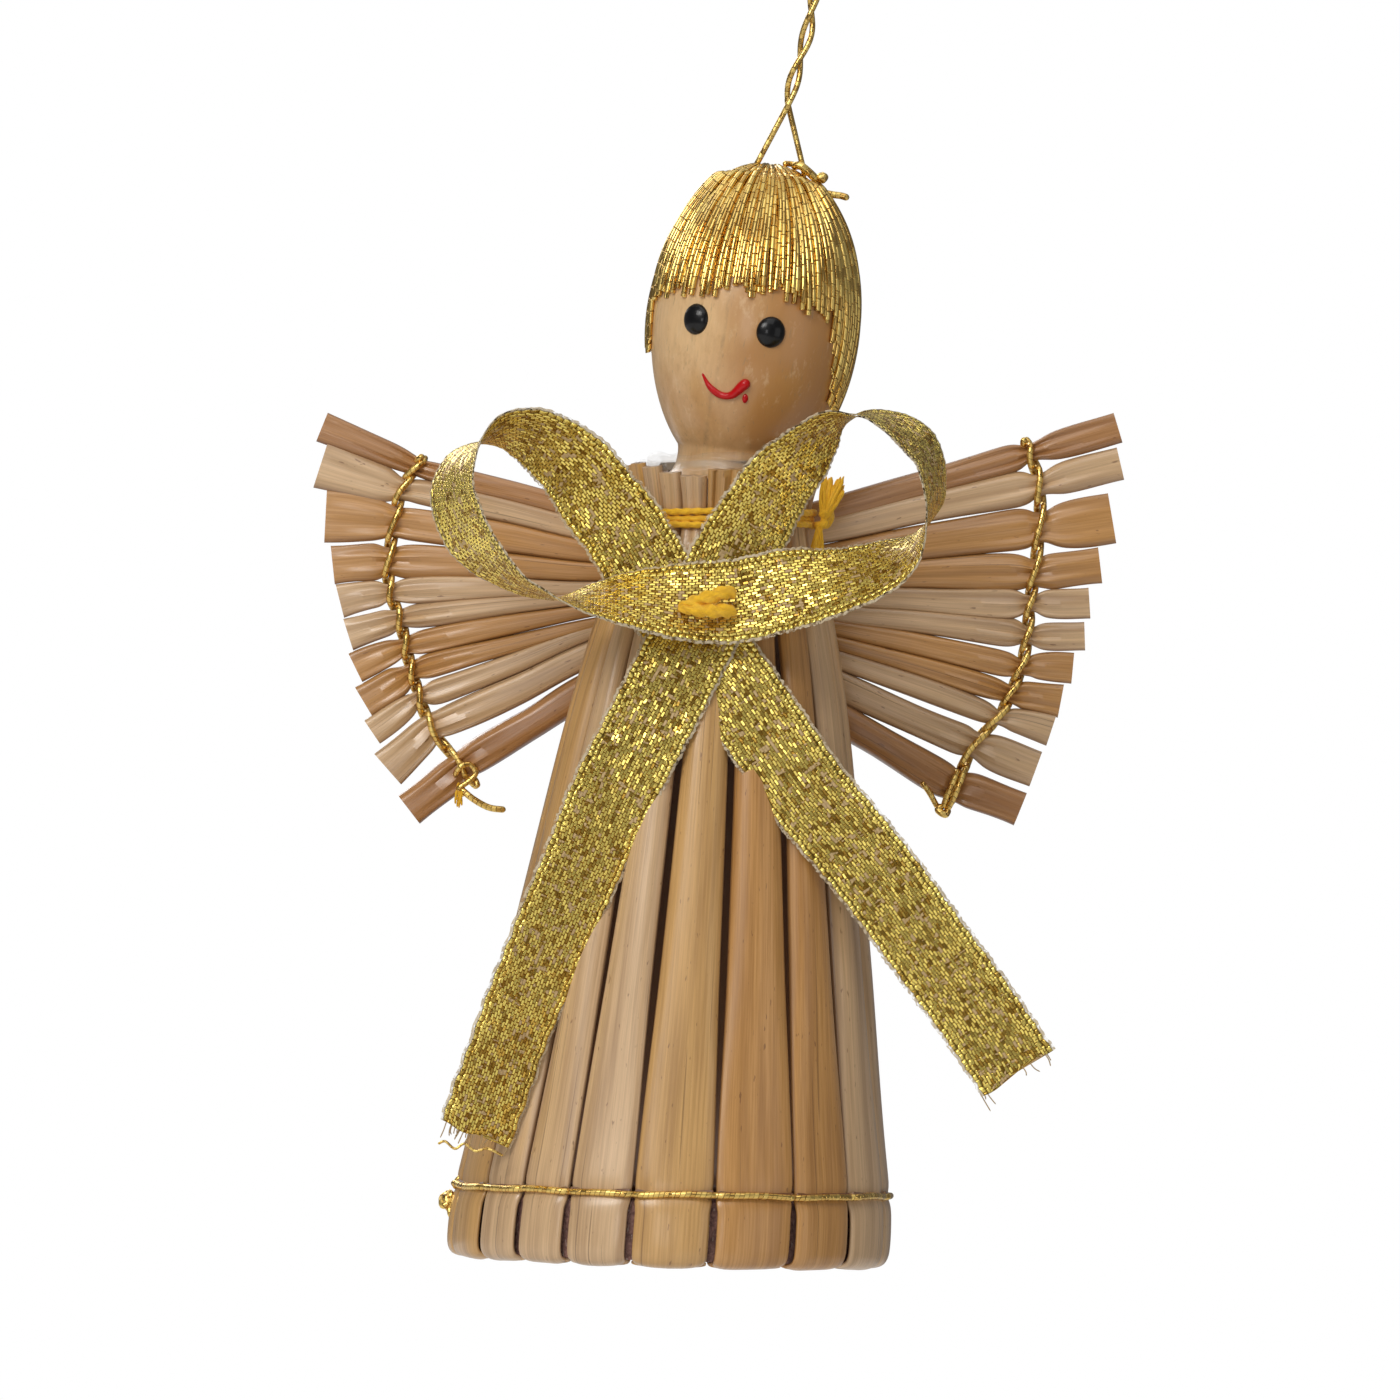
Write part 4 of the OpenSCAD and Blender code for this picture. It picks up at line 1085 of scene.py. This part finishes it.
class ANGEL_OT_neck(bpy.types.Operator):
    """Neck: three turns of yellow cotton with a knot and frayed ends, and the clear glue under the head"""

    bl_idname = "angel.neck"
    bl_label = "Neck"

    def execute(self, context):
        s = sizes()
        draw = np.random.default_rng(3)
        tie_r = WAIST_R + s["straw_t"] / 2 + s["tie_d"] / 2 - 0.04
        turn = np.linspace(0, 360, 720, endpoint=False)
        patches = []
        for k in (-1, 0, 1):
            z = TIE_Z + k * TIE_PITCH + 0.06 * np.sin(np.radians(3 * turn + 80 * k))
            path = dress_point(turn, tie_r + TIE_SPREAD * abs(k), z)
            length = along(np.vstack([path, path[:1]]))
            rings = cord_rings(path, s["tie_d"] / 2, 16, (0, 0, 1), plies=2, lay=length[-1] / 24, depth=0.2)
            patches.append(patch(hang(rings), np.linspace(0, 1, 17), length + 7 * k, loop=True))
        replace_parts(piece("neck_cotton", patches, finish("cotton")), "neck_tie")
        knot = spline([[11.6, -2.4, 62.4], [12.4, -1.9, 62.6], [12.2, -1.0, 61.8],
                       [11.5, -1.8, 61.4], [12.3, -2.4, 61.9]], 60)
        ends = [cord_patch(knot, 0.5, 12, (0, 0, 1), plies=2, lay=2.2, depth=0.3)]
        ends += fibre_tuft([11.9, -2.2, 61.9], [12.8, -2.4, 65.0], [0.95, 0.3, 0.7], 60, 0.3, draw)
        ends += fibre_tuft([11.6, -2.2, 61.6], [11.2, -2.4, 58.4], [0.55, 0.3, 0.6], 44, 0.3, draw)
        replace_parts(piece("neck_cotton_ends", ends, finish("cotton")), "neck_tie_ends")
        finish_node("neck_glue", "glue")
        a = np.linspace(0, 2 * math.pi, 240, endpoint=False)
        lump = 0.5 * np.sin(5 * a + 1) + 0.3 * np.sin(9 * a + 2) + 0.2 * np.sin(14 * a)
        beads = []
        for r, z, size in ((6.0, 66.9, 0.6), (7.35, 66.5, 0.36)):
            centre = dress_point(np.degrees(a), r + 0.15 * lump, z + 0.2 * np.roll(lump, 40))
            rings = cord_rings(centre, size * (1 + 0.25 * lump), 18, (0, 0, 1))
            beads.append(patch(hang(rings), np.linspace(0, 1, 19), np.linspace(0, 40, 241), loop=True))
        piece("glue_bead", beads, finish("glue"))
        return {"FINISHED"}


# ---- Wings ----

WING_X = 2.1
WING_STRAWS = 11
TIP_Z = [69.9, 66.7, 62.3, 58.2, 55.2, 52.4, 49.6, 46.8, 44.4, 41.3, 37.8]
LEFT_TIP = [32.1, 32.2, 31.8, 31.2, 30.6, 29.9, 29.3, 28.6, 27.9, 26.6, 24.8]
RIGHT_TIP = [34.6, 34.8, 34.1, 33.1, 32.2, 31.8, 30.8, 29.8, 29, 27.7, 26.4]
LEFT_TIP_W = [2.5, 4.0, 4.3, 3.3, 2.8, 2.7, 2.6, 3, 2.4, 3.3, 3]
RIGHT_TIP_W = [2.7, 2.9, 4.3, 3.1, 2.7, 2.5, 2.6, 2.8, 2.6, 3.2, 3]
LEFT_PINCH = [24.2, 25.4, 26, 26.5, 26.4, 25.6, 25.1, 24.6, 23.9, 22.9, 20.4]
RIGHT_PINCH = [27.2, 28, 28, 27.6, 27.2, 27, 26.5, 25.6, 24.6, 22.5, 21]
LEFT_PINCH_Z = [66.5, 64.7, 62, 58.7, 56.1, 53.9, 51.6, 49.4, 47.2, 44.6, 41.4]
RIGHT_PINCH_Z = [67.6, 65.1, 61.4, 57.7, 55, 52.4, 49.8, 47.6, 45.6, 43.2, 39.8]
PINCH_W = [1.7, 2.1, 2.8, 2.7, 1.6, 1.7, 1.5, 1.7, 1.3, 2.5, 2.9]
LEFT_ROOT_Z = [63, 61.4, 59.5, 57.8, 56.5, 55.5, 54.4, 53.2, 52.3, 50.6, 47.8]
RIGHT_ROOT_Z = [63, 61.2, 59.2, 57.3, 55.8, 54.5, 53.2, 52, 50.8, 48.8, 46.1]
WING_TONES = ["brown", "light", "tan", "tan", "light", "light", "tan", "tan", "light", "light", "brown"]
ROOT_REACH = 10
BUNDLE_Z = 57
BUNDLE_H = 10.6
BUNDLE_Y = 9.85
BUNDLE_T = 1.3
WING_REACH = 35


def wing_y(reach):
    """How far behind the centre line the wing lies: 9.3 - 1.2 q + 1.6 q^2, with q the share of WING_REACH."""
    share = reach / WING_REACH
    return 9.3 - 1.2 * share + 1.6 * share**2


def half_wing(i, tip, tip_w, pinch, pinch_z, root_z):
    """Stations of one wing half from the bundle out: [reach, z, height, thickness, crease]. Up to the thread
    each straw fills the room between its neighbours, measured square to its own slope."""
    root, knot = np.array([ROOT_REACH, root_z[i]]), np.array([pinch[i], pinch_z[i]])
    end = np.array([tip[i], TIP_Z[i]])
    wide, middle = root + 0.87 * (knot - root), root + 0.45 * (knot - root)
    flare = knot + 0.32 * (end - knot)
    level = (knot[0] - root[0]) / np.linalg.norm(knot - root)
    first, last = (level * np.abs(np.gradient(np.array(z)))[i] for z in (root_z, pinch_z))
    root, inner = root + 0.12 * (root - knot), 1.2 * first - 0.12 * last
    return [
        [*root, inner, 1.3, 0.04], [*middle, 0.6 * first + 0.48 * last, 1.5, 0.06],
        [*wide, 0.12 * first + 0.9 * last, 1.2, 0.8], [*knot, PINCH_W[i] * 0.9, 0.6, 1.0],
        [*flare, 0.35 * PINCH_W[i] + 0.65 * tip_w[i], 0.9, 0.8], [*end, tip_w[i], 0.8, 0.15],
    ]


def wing_side(half, side):
    """Stations of a wing half as [x, y, z, height, thickness, crease], on the side -1 or 1."""
    return np.column_stack([WING_X + side * half[:, 0], wing_y(half[:, 0]), half[:, 1:]])


def wing_straw(i, draw):
    """One straw from wing tip to wing tip, and the painted shade at each of its points: darker along its
    lower edge than its upper one, where the straws meet, and darkest in the bore at each tip. Its section is
    a flat oval, creased lengthwise near the thread by c cos(2 pi k x), and at each tip the skin turns in to a
    short open bore. The lowest straw is rounder than the rest."""
    left = np.array(half_wing(i, LEFT_TIP, LEFT_TIP_W, LEFT_PINCH, LEFT_PINCH_Z, LEFT_ROOT_Z))
    right = np.array(half_wing(i, RIGHT_TIP, RIGHT_TIP_W, RIGHT_PINCH, RIGHT_PINCH_Z, RIGHT_ROOT_Z))
    middle_z = BUNDLE_Z + BUNDLE_H * (0.5 - (i + 0.5) / WING_STRAWS)
    middle = [[WING_X + 0.9, BUNDLE_Y + 0.28 * max(0, BUNDLE_Z - middle_z), middle_z,
               BUNDLE_H / WING_STRAWS - 0.08, BUNDLE_T, 0.4]]
    s = spline(np.vstack([wing_side(left, -1)[::-1], middle, wing_side(right, 1)]), 260)
    path = s[:, :3].copy()
    t = np.linspace(0, 1, len(s))
    path[:, 2] += 0.10 * np.sin(t * draw.uniform(14, 24) + draw.uniform(0, 6))
    tall = s[:, 3] * (1 + 0.04 * np.sin(t * 40 + draw.uniform(0, 6)))
    thick = s[:, 4] * (2.0 if i == WING_STRAWS - 1 else 1.0)
    x, y = flat_oval(48, 0.62, 0.85)
    tangent = unit(np.gradient(path, axis=0) * [1, 0, 1])
    up = np.stack([-tangent[:, 2], 0 * t, tangent[:, 0]], 1)
    folds = draw.uniform(0.9, 1.4)
    crease = s[:, 5, None] * (0.22 * np.cos(2 * math.pi * folds * x[None, :] + draw.uniform(0, 6)))
    depth = thick[:, None] / 2 * y[None, :] + crease * np.abs(y[None, :])
    rings = path[:, None] + (tall / 2)[:, None, None] * x[None, :, None] * up[:, None]
    rings[..., 1] -= depth
    u, v = round_u(x) * 1.6, along(path) + 71.0 * i + 900

    inside = [12, 6, 0]

    def bore(k):
        """The section at a place along the straw made smaller, for the inside of a cut end."""
        return path[k] + (rings[k] - path[k]) * [0.86, 0.52, 0.86]

    near, far = np.array(inside), len(rings) - 1 - np.array(inside[::-1])
    rings = np.concatenate([[bore(k) for k in near], rings, [bore(k) for k in far]])
    v = np.concatenate([v[near], v, v[far]])
    # Painted shade: the lower edge darker than the upper, for the grooves between straws, and the bores dark
    flank_shade = 0.62 * smooth(-0.72, -1.0, x) + 0.35 * smooth(0.86, 1.0, x)
    painted_shade = np.tile(flank_shade, (len(rings), 1))
    painted_shade[:len(near)] = painted_shade[-len(far):] = 0.8
    return patch(hang(rings), u, v), painted_shade.ravel()


class ANGEL_OT_wings(bpy.types.Operator):
    """Wings: eleven straws that run behind the dress from wing tip to wing tip"""

    bl_idname = "angel.wings"
    bl_label = "Wings"

    def execute(self, context):
        draw = np.random.default_rng(8)
        for i in range(WING_STRAWS):
            name = "straw_" + WING_TONES[i]
            straw, painted_shade = wing_straw(i, draw)
            obj = piece(f"feather_straw_{i + 1:02d}", [straw], finish(name), shade_at=painted_shade)
            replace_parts(obj, f"wing_straw_{i + 1:02d}")
        return {"FINISHED"}


# One turn of the lashing round the bundle, as [y, z]
LASHING_TURN = [[9.0, 60], [9.1, 62.9], [10.0, 63.2], [10.9, 62.6], [11.0, 57], [11.9, 54],
                [12.5, 51.2], [11.6, 50.7], [10.5, 51.2], [9.4, 54], [8.95, 57]]
LASHING_TURNS = 5


def twined(reach, height, side, d):
    """The two strands of a wing's thread. Each goes before one straw and behind the next, at a distance
    y = +-s sign(cos) |cos|^0.35 of the straw count, and they cross in the gaps."""
    line = np.column_stack([WING_X + side * np.array(reach), height])
    ends = [line[:1] + (line[:1] - line[1:2]) * 0.55, line[-1:] + (line[-1:] - line[-2:-1]) * 0.55]
    line = np.vstack([ends[0], line, ends[1]])
    count = 460
    way = spline(line, count)
    k = np.linspace(-1, WING_STRAWS, count)
    swing = np.cos(math.pi * k)
    spread = 0.36 + d / 2 + 0.12
    patches = []
    for face in (-1, 1):
        y = wing_y(np.abs(way[:, 0] - WING_X)) + face * spread * np.sign(swing) * np.abs(swing) ** 0.35
        drift = face * 0.28 * np.sin(math.pi * k)
        path = np.column_stack([way[:, 0] + drift, y, way[:, 1]])
        patches.append(cord_patch(path, d / 2 * 1.1, 10, (1, 0, 0.2)))
    return patches


class ANGEL_OT_wing_threads(bpy.types.Operator):
    """Gold thread twined down each wing, with its knot and loose end, and the lashing behind the dress"""

    bl_idname = "angel.wing_threads"
    bl_label = "Wing Threads"

    def execute(self, context):
        s = sizes()
        d = s["thread_d"]
        gold = finish("gold_thread")
        for name, node, reach, height, side in (
            ("wing_twine_left", "left_wing_thread", LEFT_PINCH, LEFT_PINCH_Z, -1),
            ("wing_twine_right", "right_wing_thread", RIGHT_PINCH, RIGHT_PINCH_Z, 1),
        ):
            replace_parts(piece(name, twined(reach, height, side, d), gold), node)
        knot = spline([[-18.9, 8.3, 40.6], [-18.4, 7.9, 41.4], [-17.6, 8.0, 41.6], [-17.1, 8.1, 40.9],
                       [-17.7, 8.1, 40.2], [-18.5, 8.0, 39.6], [-18.4, 8.6, 39.1], [-17.9, 8.3, 39.3]], 90)
        tail = spline([[-18.4, 8.1, 39.6], [-17.3, 8.0, 38.7], [-16.0, 8.1, 38.0], [-14.6, 8.2, 37.8]], 40)
        draw = np.random.default_rng(21)
        fray = fibre_tuft([-18.5, 8.2, 40.0], [-18.6, 8.0, 38.2], [0.35, 0.2, 0.35], 9, 0.2, draw)
        left = [cord_patch(knot, d / 2), cord_patch(tail, d / 2 * 1.15)]
        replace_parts(piece("wing_knot_left", left, gold), "left_wing_knot")
        piece("wing_fray_left", fray, finish("cotton"))
        wrap = spline([[23.9, 8.1, 41.4], [23.5, 7.9, 40.2], [22.9, 7.9, 38.8], [22.2, 8.4, 37.6],
                       [21.6, 8.6, 38.0], [20.9, 8.3, 39.2], [20.2, 8.2, 40.2]], 90)
        second = spline([[23.3, 8.0, 41.2], [22.8, 7.8, 40.0], [22.3, 7.9, 38.9], [22.0, 8.3, 37.9]], 50)
        lump = spline([[22.0, 8.3, 38.2], [21.6, 8.1, 37.8], [22.2, 8.0, 37.4], [22.5, 8.3, 37.9]], 40)
        right = [cord_patch(wrap, d / 2), cord_patch(second, d / 2), cord_patch(lump, 0.3)]
        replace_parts(piece("wing_knot_right", right, gold), "right_wing_knot")
        once = np.array(LASHING_TURN)
        turns = np.vstack([once] * LASHING_TURNS + [once[:1]])
        across = np.linspace(0, 1, len(turns))
        path = spline(np.column_stack([WING_X - 0.3 + 2.4 * across, turns]), 700)
        lashing = cord_patch(path, 0.36, 14, (1, 0, 0), plies=2, lay=1.9, depth=0.34)
        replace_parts(piece("wing_lashing", [lashing], finish("cotton")), "wing_tie")
        beads = [ball_patch([x, 8.1, 57.5], [0.95, 0.8, 1.7], 0.12) for x in (-1.2, 7.4)]
        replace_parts(piece("wing_glue_beads", beads, finish("glue")), "wing_glue")
        return {"FINISHED"}


# ---- Bow: one ribbon from the right tail to the left tail, as [x, y, z, roll] ----

RIGHT_TAIL = [
    [28, -8, 16.2, 0], [24.3, -8.8, 21.6, 0], [20.8, -9.6, 26.3, 0], [17.7, -10.4, 30.6, 0],
    [14.1, -11, 35.2, 0], [10.7, -11.5, 39.2, 0], [7.5, -11.7, 43.8, 0], [4.7, -11.4, 47.8, 0],
    [2.1, -10.5, 51.2, 0],
]
LEFT_LOOP = [
    [-0.7, -9.7, 54.8, 0], [-3, -9.3, 58.4, 0], [-5, -9.4, 61.6, 5],
    [-6.5, -9.6, 63.3, 12], [-8, -9.8, 65.5, 22], [-9.7, -10, 67.2, 32], [-12, -10.2, 68.7, 46],
    [-14.3, -10.4, 69.1, 64], [-16.3, -10.6, 68.4, 88], [-17.5, -10.9, 67.4, 103],
    [-18.4, -11.2, 66.1, 113], [-18.8, -11.5, 64.4, 120], [-18.5, -11.8, 62.8, 124],
    [-17.5, -12.1, 60.5, 123], [-15.8, -12.4, 58.5, 117], [-13.3, -12.7, 56.6, 105],
    [-11.3, -12.9, 55.8, 96], [-10, -13, 55.4, 88], [-8.1, -13, 55.3, 73],
]
FRONT_BAND = [
    [-6.1, -12.8, 55.3, 61], [-3.3, -12.6, 55.3, 45],
    [0.5, -12.4, 55.1, 27], [4.7, -12.3, 55.2, 16], [8.8, -12.4, 56.1, 18],
]
RIGHT_LOOP = [
    [12.8, -12.8, 56.8, 38], [16, -13.2, 57.7, 50],
    [18.2, -13.3, 58.9, 63], [19.5, -13.2, 60.1, 78], [20.2, -13, 61.2, 88],
    [20.7, -12.8, 62.3, 95], [21.1, -12.5, 63.7, 103], [21, -12.2, 65.3, 107],
    [20.6, -12, 67, 110], [19.6, -11.8, 68.5, 113], [17.9, -11.5, 69.8, 108],
    [15.7, -11.2, 70.6, 99], [14, -11, 70.4, 88], [12.6, -10.8, 69.8, 70],
    [11.3, -10.5, 68.5, 56], [9.8, -10.2, 66.8, 43], [8.2, -10, 65.1, 33],
    [6.5, -9.9, 62.4, 24], [4.8, -10, 59.5, 12], [3, -10.5, 55.8, 0],
]
LEFT_TAIL = [
    [0.8, -11.3, 51.6, 0], [-1.3, -12.1, 47.4, 0], [-3.3, -12.4, 43.6, 0],
    [-5.8, -12.8, 38.7, 8], [-7.5, -13.1, 34.7, 16], [-10.5, -13.4, 27.8, 24],
    [-13.8, -13.6, 19.7, 28], [-16.9, -13.4, 11.1, 30],
]
STITCH_STRANDS = [
    [[-0.1, -12.9, 54.75], [0.9, -13.7, 55.05], [2.3, -14.0, 55.45], [3.7, -13.8, 55.85],
     [4.5, -12.9, 55.75]],
    [[-0.1, -13.1, 54.6], [0.9, -13.9, 54.5], [2.3, -14.1, 54.4], [3.7, -13.9, 54.35], [4.5, -13.0, 54.3]],
]


STITCH_PLACE = (2.6, 55.4)
# Frayed yarns at the ribbon's two cut ends, and how many of them are at the left tail's
FRAYS = 26
LEFT_FRAYS = 19


def ribbon_frames(count):
    """Middle line of the ribbon with its directions along, across and out of its face: across =
    cos(roll) r - sin(roll) Y, where r is square to the way of travel in the figure's own plane."""
    s = spline(RIGHT_TAIL + LEFT_LOOP + FRONT_BAND + RIGHT_LOOP + LEFT_TAIL, count)
    path, roll = s[:, :3], np.radians(s[:, 3])
    go = unit(np.gradient(path, axis=0))
    right_hand = unit(np.stack([go[:, 2], 0 * roll, -go[:, 0]], 1))
    edge = np.cos(roll)[:, None] * right_hand - np.sin(roll)[:, None] * np.array([0, 1, 0])
    return path, go, edge, unit(np.cross(go, edge))


def ribbon_patch(path, go, edge, face, half, thick):
    """Skin of the ribbon: two faces of columns u from 1 to -1 across, set thick / 2 off the middle line. Both
    edges are scalloped by small sines of the distance s, the faces ripple by sin(s / 2.7 + 1.5 u), a thicker
    row of beads stands inside each edge, and the band swells where the stitch pulls it. The two ends are cut
    slanting, by sines of u."""
    columns = 27
    s = along(path)
    x = np.linspace(1, -1, columns)
    u = np.concatenate([x, x[::-1]])[None, :]
    front = np.concatenate([np.full(columns, -1.0), np.full(columns, 1.0)])[None, :]
    scallop = 1 + 0.016 * np.sin(s * 2 * math.pi / 0.62) + 0.012 * np.sin(s * 2 * math.pi / 2.3 + 1)
    ripple = 0.07 * np.sin(s[:, None] / 2.7 + 1.5 * u) + 0.05 * np.sin(s[:, None] / 1.3 - 2.2 * u)
    bead_row = 0.05 * bump_at(np.abs(u), 0.79, 0.07)
    push = ripple + front * (thick / 2 + bead_row) * (1 - 0.5 * (np.abs(u) > 0.99))
    off = ((path[:, 0] - STITCH_PLACE[0]) / 3.0) ** 2 + ((path[:, 2] - STITCH_PLACE[1]) / 2.2) ** 2
    near = np.exp(-off) * (path[:, 1] < -12)
    push = push + 0.35 * near[:, None] * bump_at(u, 0.1, 0.35)
    rings = path[:, None] + (half * scallop)[:, None, None] * u[..., None] * edge[:, None]
    rings = rings + push[..., None] * face[:, None]
    rings[:3] += 0.25 * np.sin(4 * u[..., None] + 1) * go[:3, None]
    rings[-3:] += 0.2 * np.sin(5 * u[..., None]) * go[-3:, None]
    across = np.append(u[0] * half, u[0, 0] * half)
    return patch(hang(rings), across, s)


class ANGEL_OT_bow(bpy.types.Operator):
    """Bow: one length of woven ribbon with two loops and two tails, frayed where it is cut"""

    bl_idname = "angel.bow"
    bl_label = "Bow"

    def execute(self, context):
        size = sizes()
        half, thick = size["ribbon_w"] / 2, size["ribbon_t"]
        path, go, edge, face = ribbon_frames(1100)
        obj = piece("bow_ribbon", [ribbon_patch(path, go, edge, face, half, thick)], finish("ribbon"),
                    crease=80)
        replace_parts(obj, "bow_right_tail", "bow_left_loop", "bow_front_band", "bow_right_loop",
                    "bow_left_tail")
        draw = np.random.default_rng(17)
        fray = []
        for k in range(FRAYS):
            q = draw.uniform(-0.98, 0.98)
            end, out = (-1, 1) if k < LEFT_FRAYS else (0, -1)
            root = path[end] + half * q * edge[end]
            tip = root + out * go[end] * draw.uniform(0.3, 1.3) + draw.uniform(-0.35, 0.35, 3)
            middle = (root + tip) / 2 + draw.uniform(-0.1, 0.1, 3)
            yarn = spline([root - out * go[end] * 0.4, middle, tip], 12)
            fray.append(cord_patch(yarn, 0.05, 5, offset=2.0 * k))
        piece("bow_frayed_yarn", fray, finish("yarn"))
        loose = spline([[-14.6, -13.5, 9.3], [-15.9, -13.6, 9.9], [-16.9, -13.7, 9.7], [-17.8, -13.6, 10.3],
                        [-18.6, -13.7, 9.9], [-19.4, -13.6, 10.5], [-20.0, -13.6, 10.3]], 80)
        piece("bow_loose_thread", [cord_patch(loose, 0.11, 8)], finish("gold_thread"))
        return {"FINISHED"}


class ANGEL_OT_stitch(bpy.types.Operator):
    """Two strands of yellow cotton that stitch the bow to the dress"""

    bl_idname = "angel.stitch"
    bl_label = "Bow Stitch"

    def execute(self, context):
        r = sizes()["stitch_d"] / 2
        patches = []
        for k, route in enumerate(STITCH_STRANDS):
            path = spline(route, 90)
            t = np.linspace(0, 1, 90)
            swell = r * (0.55 + 0.45 * smooth(0, 0.45, t))
            patches.append(cord_patch(path, swell, 20, (0, -1, 0), offset=9.0 * k,
                                      plies=3, lay=3.6, depth=0.34))
        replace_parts(piece("bow_cotton", patches, finish("cotton")), "bow_stitch")
        return {"FINISHED"}


# ---- Studio, in metres ----

VIEW_CENTRE = Vector((0.00042, 0, -0.07042))
CAMERA_AWAY = 1.75
FLOOR_R = 0.45
FLOOR_Z = -0.185
FLOOR_T = 0.004
AIM = (0, 0, -0.07)
WARM = (1.0, 0.98, 0.95)
WHITE = (1, 1, 1)
# Each soft box: name, place, size, power, colour
SOFT_BOXES = [
    ("key", (-0.44, -0.53, 0.26), 0.26, 1.35, WARM),
    ("satin", (-0.32, -0.68, 0.34), 0.26, 1.5, WARM),
    ("front", (-0.1, -0.9, -0.06), 0.2, 0.45, WHITE),
    ("fill", (0.55, -0.45, 0.0), 0.4, 0.3, WHITE),
    ("top", (0.0, -0.38, 0.5), 0.5, 0.85, WHITE),
    ("crown", (-0.05, 0.1, 0.45), 0.7, 0.9, WHITE),
    ("rim", (-0.3, 0.5, 0.2), 0.3, 1.1, WHITE),
]


def soft_box(name, place, size, power, colour):
    """Square area light at place, turned to the figure."""
    light = bpy.data.lights.new(name, "AREA")
    light.shape = "SQUARE"
    light.size, light.energy, light.color = size, power, colour
    obj = bpy.data.objects.new(name, light)
    bpy.context.scene.collection.objects.link(obj)
    obj.location = place
    obj.rotation_euler = (Vector(AIM) - Vector(place)).to_track_quat("-Z", "Y").to_euler()


class ANGEL_OT_studio(bpy.types.Operator):
    """Pale floor, soft boxes, white surroundings and the camera"""

    bl_idname = "angel.studio"
    bl_label = "Studio"

    def execute(self, context):
        scene = context.scene
        camera = bpy.data.cameras.new("camera")
        camera.lens, camera.sensor_width = 540, 36
        camera.clip_start, camera.clip_end = 0.01, 20
        obj = bpy.data.objects.new("camera", camera)
        scene.collection.objects.link(obj)
        c, s = math.cos(LEAN), math.sin(LEAN)
        rolled = Matrix(((c, -s, 0), (0, 0, -1), (s, c, 0)))
        obj.matrix_world = Matrix.Translation(VIEW_CENTRE - Vector((0, CAMERA_AWAY, 0))) @ rolled.to_4x4()
        scene.camera = obj
        scene.view_settings.view_transform = "Standard"

        radius = np.linspace(0.001, FLOOR_R, 12)[:, None]
        a = np.linspace(0, 2 * math.pi, 64, endpoint=False)[None, :]
        top = np.stack([radius * np.cos(a), radius * np.sin(a), FLOOR_Z + 0 * a * radius], -1)
        rings = np.concatenate([top, top[::-1] - [0, 0, FLOOR_T]])
        made, n, shader = material("studio_floor", Roughness=0.7)
        drift = n.noise(local(n, 40), 1.0, 2.0)
        put(n, shader, {"Base Color": n.mix(drift, (0.92, 0.91, 0.90, 1), (0.95, 0.94, 0.93, 1))})
        points, quads, tris, _, _ = patch(rings, np.linspace(0, 1, 65), np.linspace(0, 1, 24))
        mesh = bpy.data.meshes.new("studio_floor")
        mesh.from_pydata(points.tolist(), [], quads.tolist() + tris.tolist())
        mesh.materials.append(made)
        floor = bpy.data.objects.new("studio_floor", mesh)
        scene.collection.objects.link(floor)

        for box in SOFT_BOXES:
            soft_box(*box)

        world = bpy.data.worlds.new("studio")
        scene.world = world
        world.use_nodes = True
        n = Nodes(world.node_tree)
        background = world.node_tree.nodes["Background"]
        seen = n.add("ShaderNodeLightPath").outputs["Is Camera Ray"]
        put(n, background, {"Color": n.mix(seen, (0.15, 0.15, 0.155, 1), (1, 1, 1, 1))})
        return {"FINISHED"}


STEPS = [ANGEL_OT_studio, ANGEL_OT_cord, ANGEL_OT_head, ANGEL_OT_hair, ANGEL_OT_crown, ANGEL_OT_dress,
         ANGEL_OT_hem, ANGEL_OT_neck, ANGEL_OT_wings, ANGEL_OT_wing_threads, ANGEL_OT_bow, ANGEL_OT_stitch]


class ANGEL_PT_panel(bpy.types.Panel):
    """Lists the sizes, the colours and the pieces"""

    bl_idname = "ANGEL_PT_panel"
    bl_label = "Straw Angel"
    bl_space_type = "VIEW_3D"
    bl_region_type = "UI"
    bl_category = "Straw Angel"

    def draw(self, context):
        for label, values in (("Sizes", context.scene.angel_sizes), ("Colours", context.scene.angel_colours)):
            box = self.layout.box()
            box.label(text=label)
            for key in type(values).__annotations__:
                box.prop(values, key)
        for step in STEPS:
            self.layout.operator(step.bl_idname)


CLASSES = [AngelSizes, AngelColours, *STEPS, ANGEL_PT_panel]


def register():
    """Adds the classes, and the scene's sizes and colours."""
    for item in CLASSES:
        bpy.utils.register_class(item)
    bpy.types.Scene.angel_sizes = bpy.props.PointerProperty(type=AngelSizes)
    bpy.types.Scene.angel_colours = bpy.props.PointerProperty(type=AngelColours)


def unregister():
    """Takes away what register adds."""
    del bpy.types.Scene.angel_sizes, bpy.types.Scene.angel_colours
    for item in reversed(CLASSES):
        bpy.utils.unregister_class(item)


def main():
    """Builds the studio and every piece."""
    register()
    bpy.ops.angel.studio()
    bpy.ops.angel.cord()
    bpy.ops.angel.head()
    bpy.ops.angel.hair()
    bpy.ops.angel.crown()
    bpy.ops.angel.dress()
    bpy.ops.angel.hem()
    bpy.ops.angel.neck()
    bpy.ops.angel.wings()
    bpy.ops.angel.wing_threads()
    bpy.ops.angel.bow()
    bpy.ops.angel.stitch()


if __name__ == "__main__":
    main()
